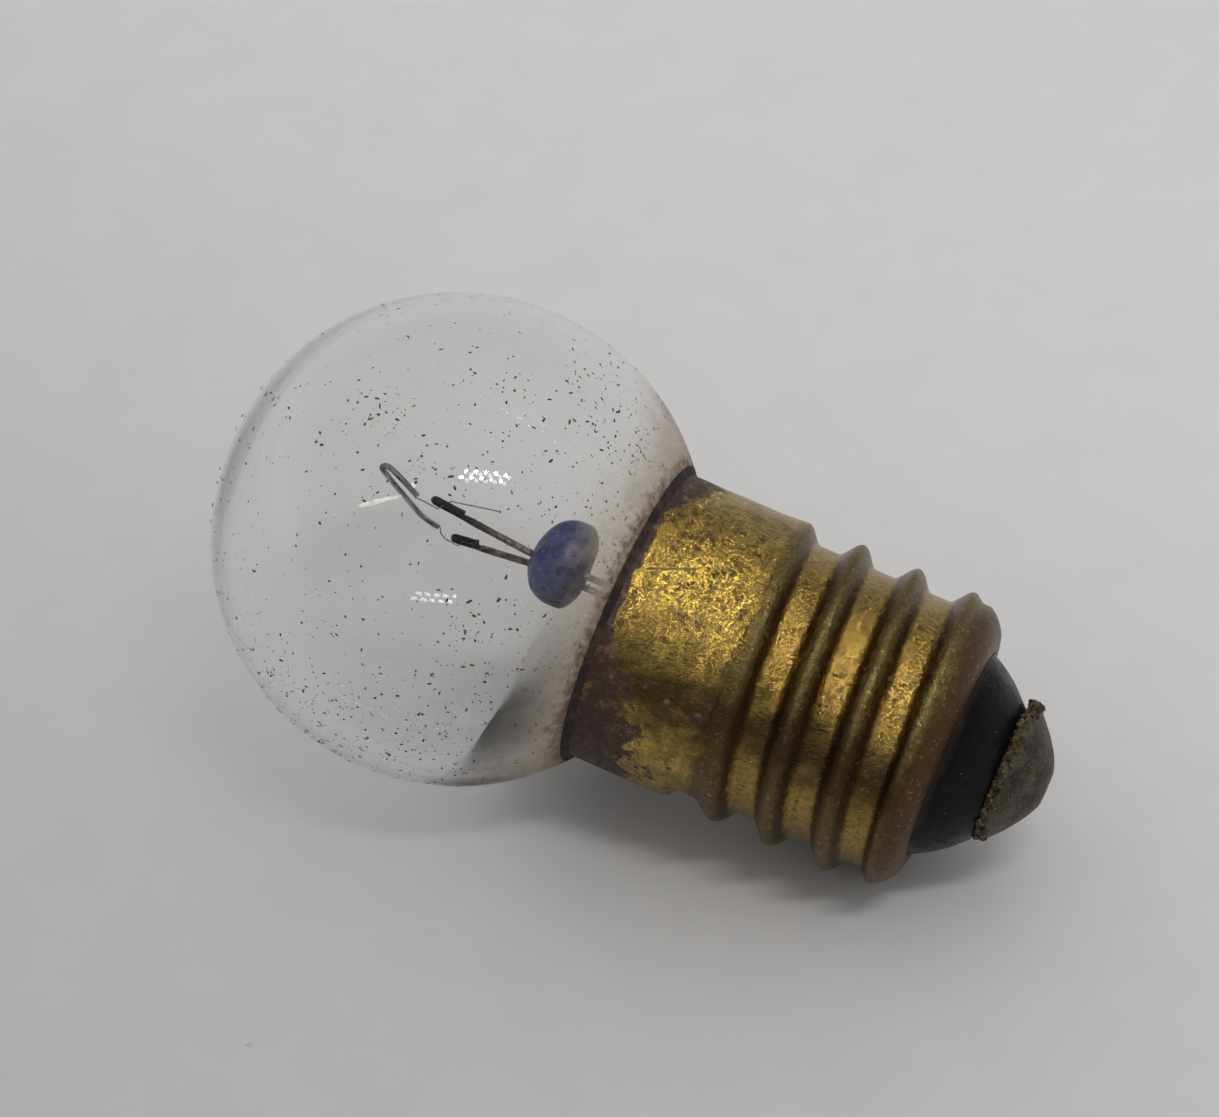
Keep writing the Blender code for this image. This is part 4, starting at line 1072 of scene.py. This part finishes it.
def solderMaterial(name, look, goldLip):
    material, tree, shader, place = newMaterial(name, {})
    cloud = noiseOf(tree, place, 1.7, 6.0, 0.66)
    blots = patchMask(tree, place, 3.4, 0.50, 0.66, 6.0)
    rusty = patchMask(tree, place, 1.5, 0.52, 0.64)
    glints = patchMask(tree, place, 9.0, 0.62, 0.70, 3.0)
    colour = mixColours(tree, fade(tree, cloud, 0.38, 0.62), look["dark"], look["grey"])
    colour = mixColours(tree, times(tree, blots, 0.55), colour, look["dark"])
    colour = mixColours(tree, times(tree, rusty, 0.5), colour, look["rust"])
    colour = mixColours(tree, times(tree, glints, 0.7), colour, look["pale"])
    along = addNode(tree, "SeparateXYZ", {0: place}).outputs[0]
    lip = fade(tree, plus(tree, along, times(tree, cloud, 0.5)), solderX + 0.40, solderX + 0.66, 1.0, 0.0)
    lip = times(tree, lip, goldLip)
    lipCloud = fade(tree, noiseOf(tree, place, 7.0, 3.0, 0.6), 0.42, 0.62)
    lipTone = mixColours(tree, lipCloud, look["dark"], look["gold"])
    colour = mixColours(tree, times(tree, lip, 0.75), colour, lipTone)
    feed(tree, shader, "Base Color", colour)
    feed(tree, shader, "Metallic", minus(tree, 0.62, times(tree, blots, 0.35)))
    rough = plus(tree, fade(tree, cloud, 0.35, 0.65, 0.36, 0.50), times(tree, blots, 0.15))
    feed(tree, shader, "Roughness", rough)
    height = plus(tree, useGroup(tree, grain, Vector=place, Scale=5.0, Rubs=0.6)["Height"],
                  times(tree, blots, 0.4))
    addBump(tree, shader, height, 0.06)
    return material


def makeSolder(size, material):
    outline = [(solderX, 0), (solderX, 0.5 * size["radius"]), (solderX, size["radius"] - 0.04)]
    start = size["shoulder"] * size["height"]
    outline += [(x, size["radius"]) for x in stations(solderX + 0.04, solderX + start, 0.06)[:-1]]
    for step in range(size["rings"] + 1):
        share = step / size["rings"]
        radius = size["flat"] + (size["radius"] - size["flat"]) * (1 - share) ** 0.75
        outline.append((solderX + start + (size["height"] - start) * share, radius))
    outline += [(solderX + size["height"], 0.5 * size["flat"]), (solderX + size["height"], 0)]
    shape = spunShape(outline, size["steps"])
    for vert in shape.verts:
        radial = Vector((0, vert.co.y, vert.co.z))
        away = radial.length
        body = smoothStep(size["flat"], size["flat"] + 0.5, away)
        body *= smoothStep(solderX + 0.01, solderX + 0.08, vert.co.x)
        lump = roughness(vert.co, 0.6, 3) + 0.4 * roughness(vert.co, 1.8, 5)
        nearLip = 1 - smoothStep(0.16, 0.42, vert.co.x - solderX)
        crumbly = abs(roughness(vert.co, 2.6, 9)) + 0.6 * abs(roughness(vert.co, 6.5, 11)) - 0.25
        if away > 1e-6:
            vert.co += radial / away * body * (size["lumps"] * lump + size["lip"] * nearLip * crumbly)
    dice = random.Random(size["seed"])
    for _ in range(size["crumbs"]):
        # thickest on the side that shows on top
        angle = dice.gauss(0.25, 0.55) if dice.random() < 0.6 else dice.uniform(0, fullTurn)
        radius = size["smallest"] + (size["largest"] - size["smallest"]) * dice.random() ** 1.5
        away = size["radius"] + dice.uniform(-0.10, 0.05)
        place = Vector((solderX + dice.uniform(0.03, 0.34), away * math.cos(angle), away * math.sin(angle)))
        outward = Vector((dice.uniform(-0.4, 0.8), math.cos(angle), math.sin(angle))).normalized()
        addCrumb(shape, place, outward, radius, dice.uniform(0.8, 1.6), dice.uniform(0.5, 1.0),
                 dice.uniform(0, math.pi))
    shape.transform(Matrix.Translation((0, size["offset"], 0)))
    return addPiece("contactSolder", shape, material, ["centre_solder"], 60)


def makeSideSolder(size, material):
    shape = bmesh.new()
    bmesh.ops.create_icosphere(shape, subdivisions=5, radius=1.0)
    for vert in shape.verts:
        x = rimX + size["sideAlong"] + size["sideRadius"] * vert.co.x
        angle = lamp["jointAngle"] + size["sideRadius"] * vert.co.y / lamp["collarRadius"]
        height = max(vert.co.z, 0.0)
        lump = 1 + 0.22 * roughness(vert.co, 1.3, 3) + 0.10 * roughness(vert.co, 4.0, 5)
        away = lamp["collarRadius"] + 0.02 + size["sideHeight"] * height * lump
        vert.co = (x, away * math.cos(angle), away * math.sin(angle))
    bmesh.ops.recalc_face_normals(shape, faces=shape.faces)
    return addPiece("rimSolder", shape, material, ["side_solder"], 60)


makeSolder(solderSizes, solderMaterial("contactSolder", solderLook, 1.0))
makeSideSolder(solderSizes, solderMaterial("rimSolder", solderLook, 0.0))
print("insulator and solder made")


# Carried-over solids: the neck's glass plug, the cement and the eyelet

innerLook = {"cement": (0.50, 0.42, 0.31), "cementDark": (0.27, 0.20, 0.13), "eyelet": (0.42, 0.30, 0.10),
             "eyeletDark": (0.14, 0.09, 0.04)}


def finish(node, material):
    frame["nodes"][node].data.materials.clear()
    frame["nodes"][node].data.materials.append(material)


def plainMaterial(name, settings, first, second, scale, depth):
    material, tree, shader, place = newMaterial(name, settings)
    mottle = noiseOf(tree, place, scale, 6.0, 0.62)
    feed(tree, shader, "Base Color", mixColours(tree, fade(tree, mottle, 0.4, 0.62), first, second))
    rough = settings["Roughness"]
    feed(tree, shader, "Roughness", fade(tree, mottle, 0.3, 0.7, rough - 0.08, rough + 0.12))
    addBump(tree, shader, useGroup(tree, grain, Vector=place, Scale=4 * scale, Rubs=0.3)["Height"], depth)
    return material


finish("butt_seal", glassMaterial("sealGlass", glassLook))
cement = plainMaterial("cement", {"Roughness": 0.85}, innerLook["cement"], innerLook["cementDark"], 1.8, 0.05)
eyeletBrass = plainMaterial("eyeletBrass", {"Roughness": 0.42, "Metallic": 1.0}, innerLook["eyelet"],
                            innerLook["eyeletDark"], 2.5, 0.02)
finish("basing_cement", cement)
finish("contact_eyelet", eyeletBrass)
print("carried-over solids finished")


# Camera at the photograph's view: 1219 x 1117 px at a focal length of 4000 px

view = {"elevation": 39.95, "azimuth": 22.45, "focal": 4000 / 1219 * 36, "globeAt": (-4.65, 0.60, -122.2)}
high, side = math.radians(view["elevation"]), math.radians(view["azimuth"])
rightWay = Vector((math.cos(side), math.sin(side), 0))
upWay = Vector((-math.sin(high) * math.sin(side), math.sin(high) * math.cos(side), math.cos(high)))
backWay = rightWay.cross(upWay)
camera = bpy.data.objects.new("camera", bpy.data.cameras.new("camera"))
bpy.context.scene.collection.objects.link(camera)
camera.data.sensor_width, camera.data.lens = 36, view["focal"]
camera.data.clip_start, camera.data.clip_end = 0.005, 20
seenX, seenY, seenZ = view["globeAt"]
eye = globeCentre - (rightWay * seenX + upWay * seenY + backWay * seenZ) * mm
camera.matrix_world = Matrix.Translation(eye) @ Matrix((rightWay, upWay, backWay)).transposed().to_4x4()
bpy.context.scene.camera = camera

# Light: a strip of ten small round lamps overhead
light = {
    "stripWay": (0.214, 0.476, 0.854), "stripFar": 600, "stripPitch": 46, "rowGap": 30, "rowShift": 0.45,
    "rows": 2, "columns": 5, "dot": 21, "power": 0.088,
    "capWay": (-0.16, 0.50, 0.85), "capSize": 80, "capPower": 1.25,
    "sky": (0.985, 0.99, 1.0), "fill": 0.90, "upper": 0.20, "horizon": 0.52, "horizonWidth": 0.55,
    "front": 0.45,
}
toStrip = rightWay * light["stripWay"][0] + upWay * light["stripWay"][1] + backWay * light["stripWay"][2]
across = (rightWay - toStrip * rightWay.dot(toStrip)).normalized()
down = toStrip.cross(across)


def addDisc(name, size, power, way, offset):
    disc = bpy.data.lights.new(name, "AREA")
    disc.shape, disc.size, disc.energy = "DISK", size * mm, power
    item = bpy.data.objects.new(name, disc)
    bpy.context.scene.collection.objects.link(item)
    item.location = globeCentre + (way * light["stripFar"] + offset) * mm
    item.rotation_euler = way.to_track_quat("Z", "Y").to_euler()
    return item


for row in range(light["rows"]):
    for column in range(light["columns"]):
        offset = across * light["stripPitch"] * (column - 2 + light["rowShift"] * row)
        offset += down * light["rowGap"] * (row - 0.5)
        addDisc("stripLamp", light["dot"], light["power"], toStrip, offset)

# one more soft lamp beside the strip shines on the brass alone
toCap = (lampTurn.to_matrix() @ Vector(light["capWay"])).normalized()
capLamp = addDisc("capLamp", light["capSize"], light["capPower"], toCap, Vector((0, 0, 0)))
brassOnly = bpy.data.collections.new("brassOnly")
brassOnly.objects.link(brassShell)
capLamp.light_linking.receiver_collection = brassOnly

# the room: pale low down, dim overhead and in front where shiny things mirror it
world = bpy.data.worlds.new("room")
bpy.context.scene.world = world
world.use_nodes = True
room = world.node_tree
way = addNode(room, "SeparateXYZ", {0: addNode(room, "TexCoord").outputs["Generated"]}).outputs
low = bump(room, way["Z"], 0.0, light["horizonWidth"])
strength = plus(room, light["upper"], times(room, low, light["horizon"] - light["upper"]))
front = fade(room, way["Y"], -0.9, 0.0, light["front"], 1.0)
path = addNode(room, "LightPath").outputs
shiny = larger(room, path["Is Glossy Ray"], path["Is Transmission Ray"])
mirrored = minus(room, strength, light["fill"])
strength = plus(room, light["fill"], times(room, shiny, mirrored))
strength = times(room, strength, front)
room.links.new(strength, room.nodes["Background"].inputs["Strength"])
room.nodes["Background"].inputs["Color"].default_value = (*light["sky"], 1.0)

# Pale paper with painted shade, a little darker towards the viewer
paper = {"pale": (0.62, 0.602, 0.590), "shaded": (0.415, 0.405, 0.396), "grey": (0.25, 0.24, 0.24),
         "dust": (0.12, 0.09, 0.08), "slope": (0.0085, 0.0215, 0), "halfSize": 900}
sheet = bmesh.new()
bmesh.ops.create_grid(sheet, x_segments=2, y_segments=2, size=paper["halfSize"] * mm)
floor = bpy.data.objects.new("paper", meshOf(sheet, "paper"))
bpy.context.scene.collection.objects.link(floor)
paperMaterial = bpy.data.materials.new("paper")
paperMaterial.use_nodes = True
tree = paperMaterial.node_tree
place = addNode(tree, "TexCoord").outputs["Object"]
inMm = addNode(tree, "VectorMath", {0: place, 1: (1000, 1000, 1000)}, operation="MULTIPLY").outputs[0]
back = addNode(tree, "VectorMath", {0: inMm, 1: paper["slope"]}, operation="DOT_PRODUCT").outputs["Value"]
# painted shade: the tone fades from shaded at the front to pale at the back
tone = mixColours(tree, fade(tree, back, -0.9, 0.9), paper["shaded"], paper["pale"])
mottle = fade(tree, noiseOf(tree, inMm, 0.35, 2.0, 0.6), 0.3, 0.7, 0.0, 0.045)
tone = mixColours(tree, mottle, tone, paper["grey"])
dust = speckMask(tree, inMm, 0.16, 0.028, 0.5)
tone = mixColours(tree, times(tree, dust, 0.6), tone, paper["dust"])
tree.links.new(tone, tree.nodes["Principled BSDF"].inputs["Base Color"])
tree.nodes["Principled BSDF"].inputs["Roughness"].default_value = 0.75
floor.data.materials.append(paperMaterial)
bpy.context.scene.view_settings.view_transform = "Standard"
print("camera, light and paper set")
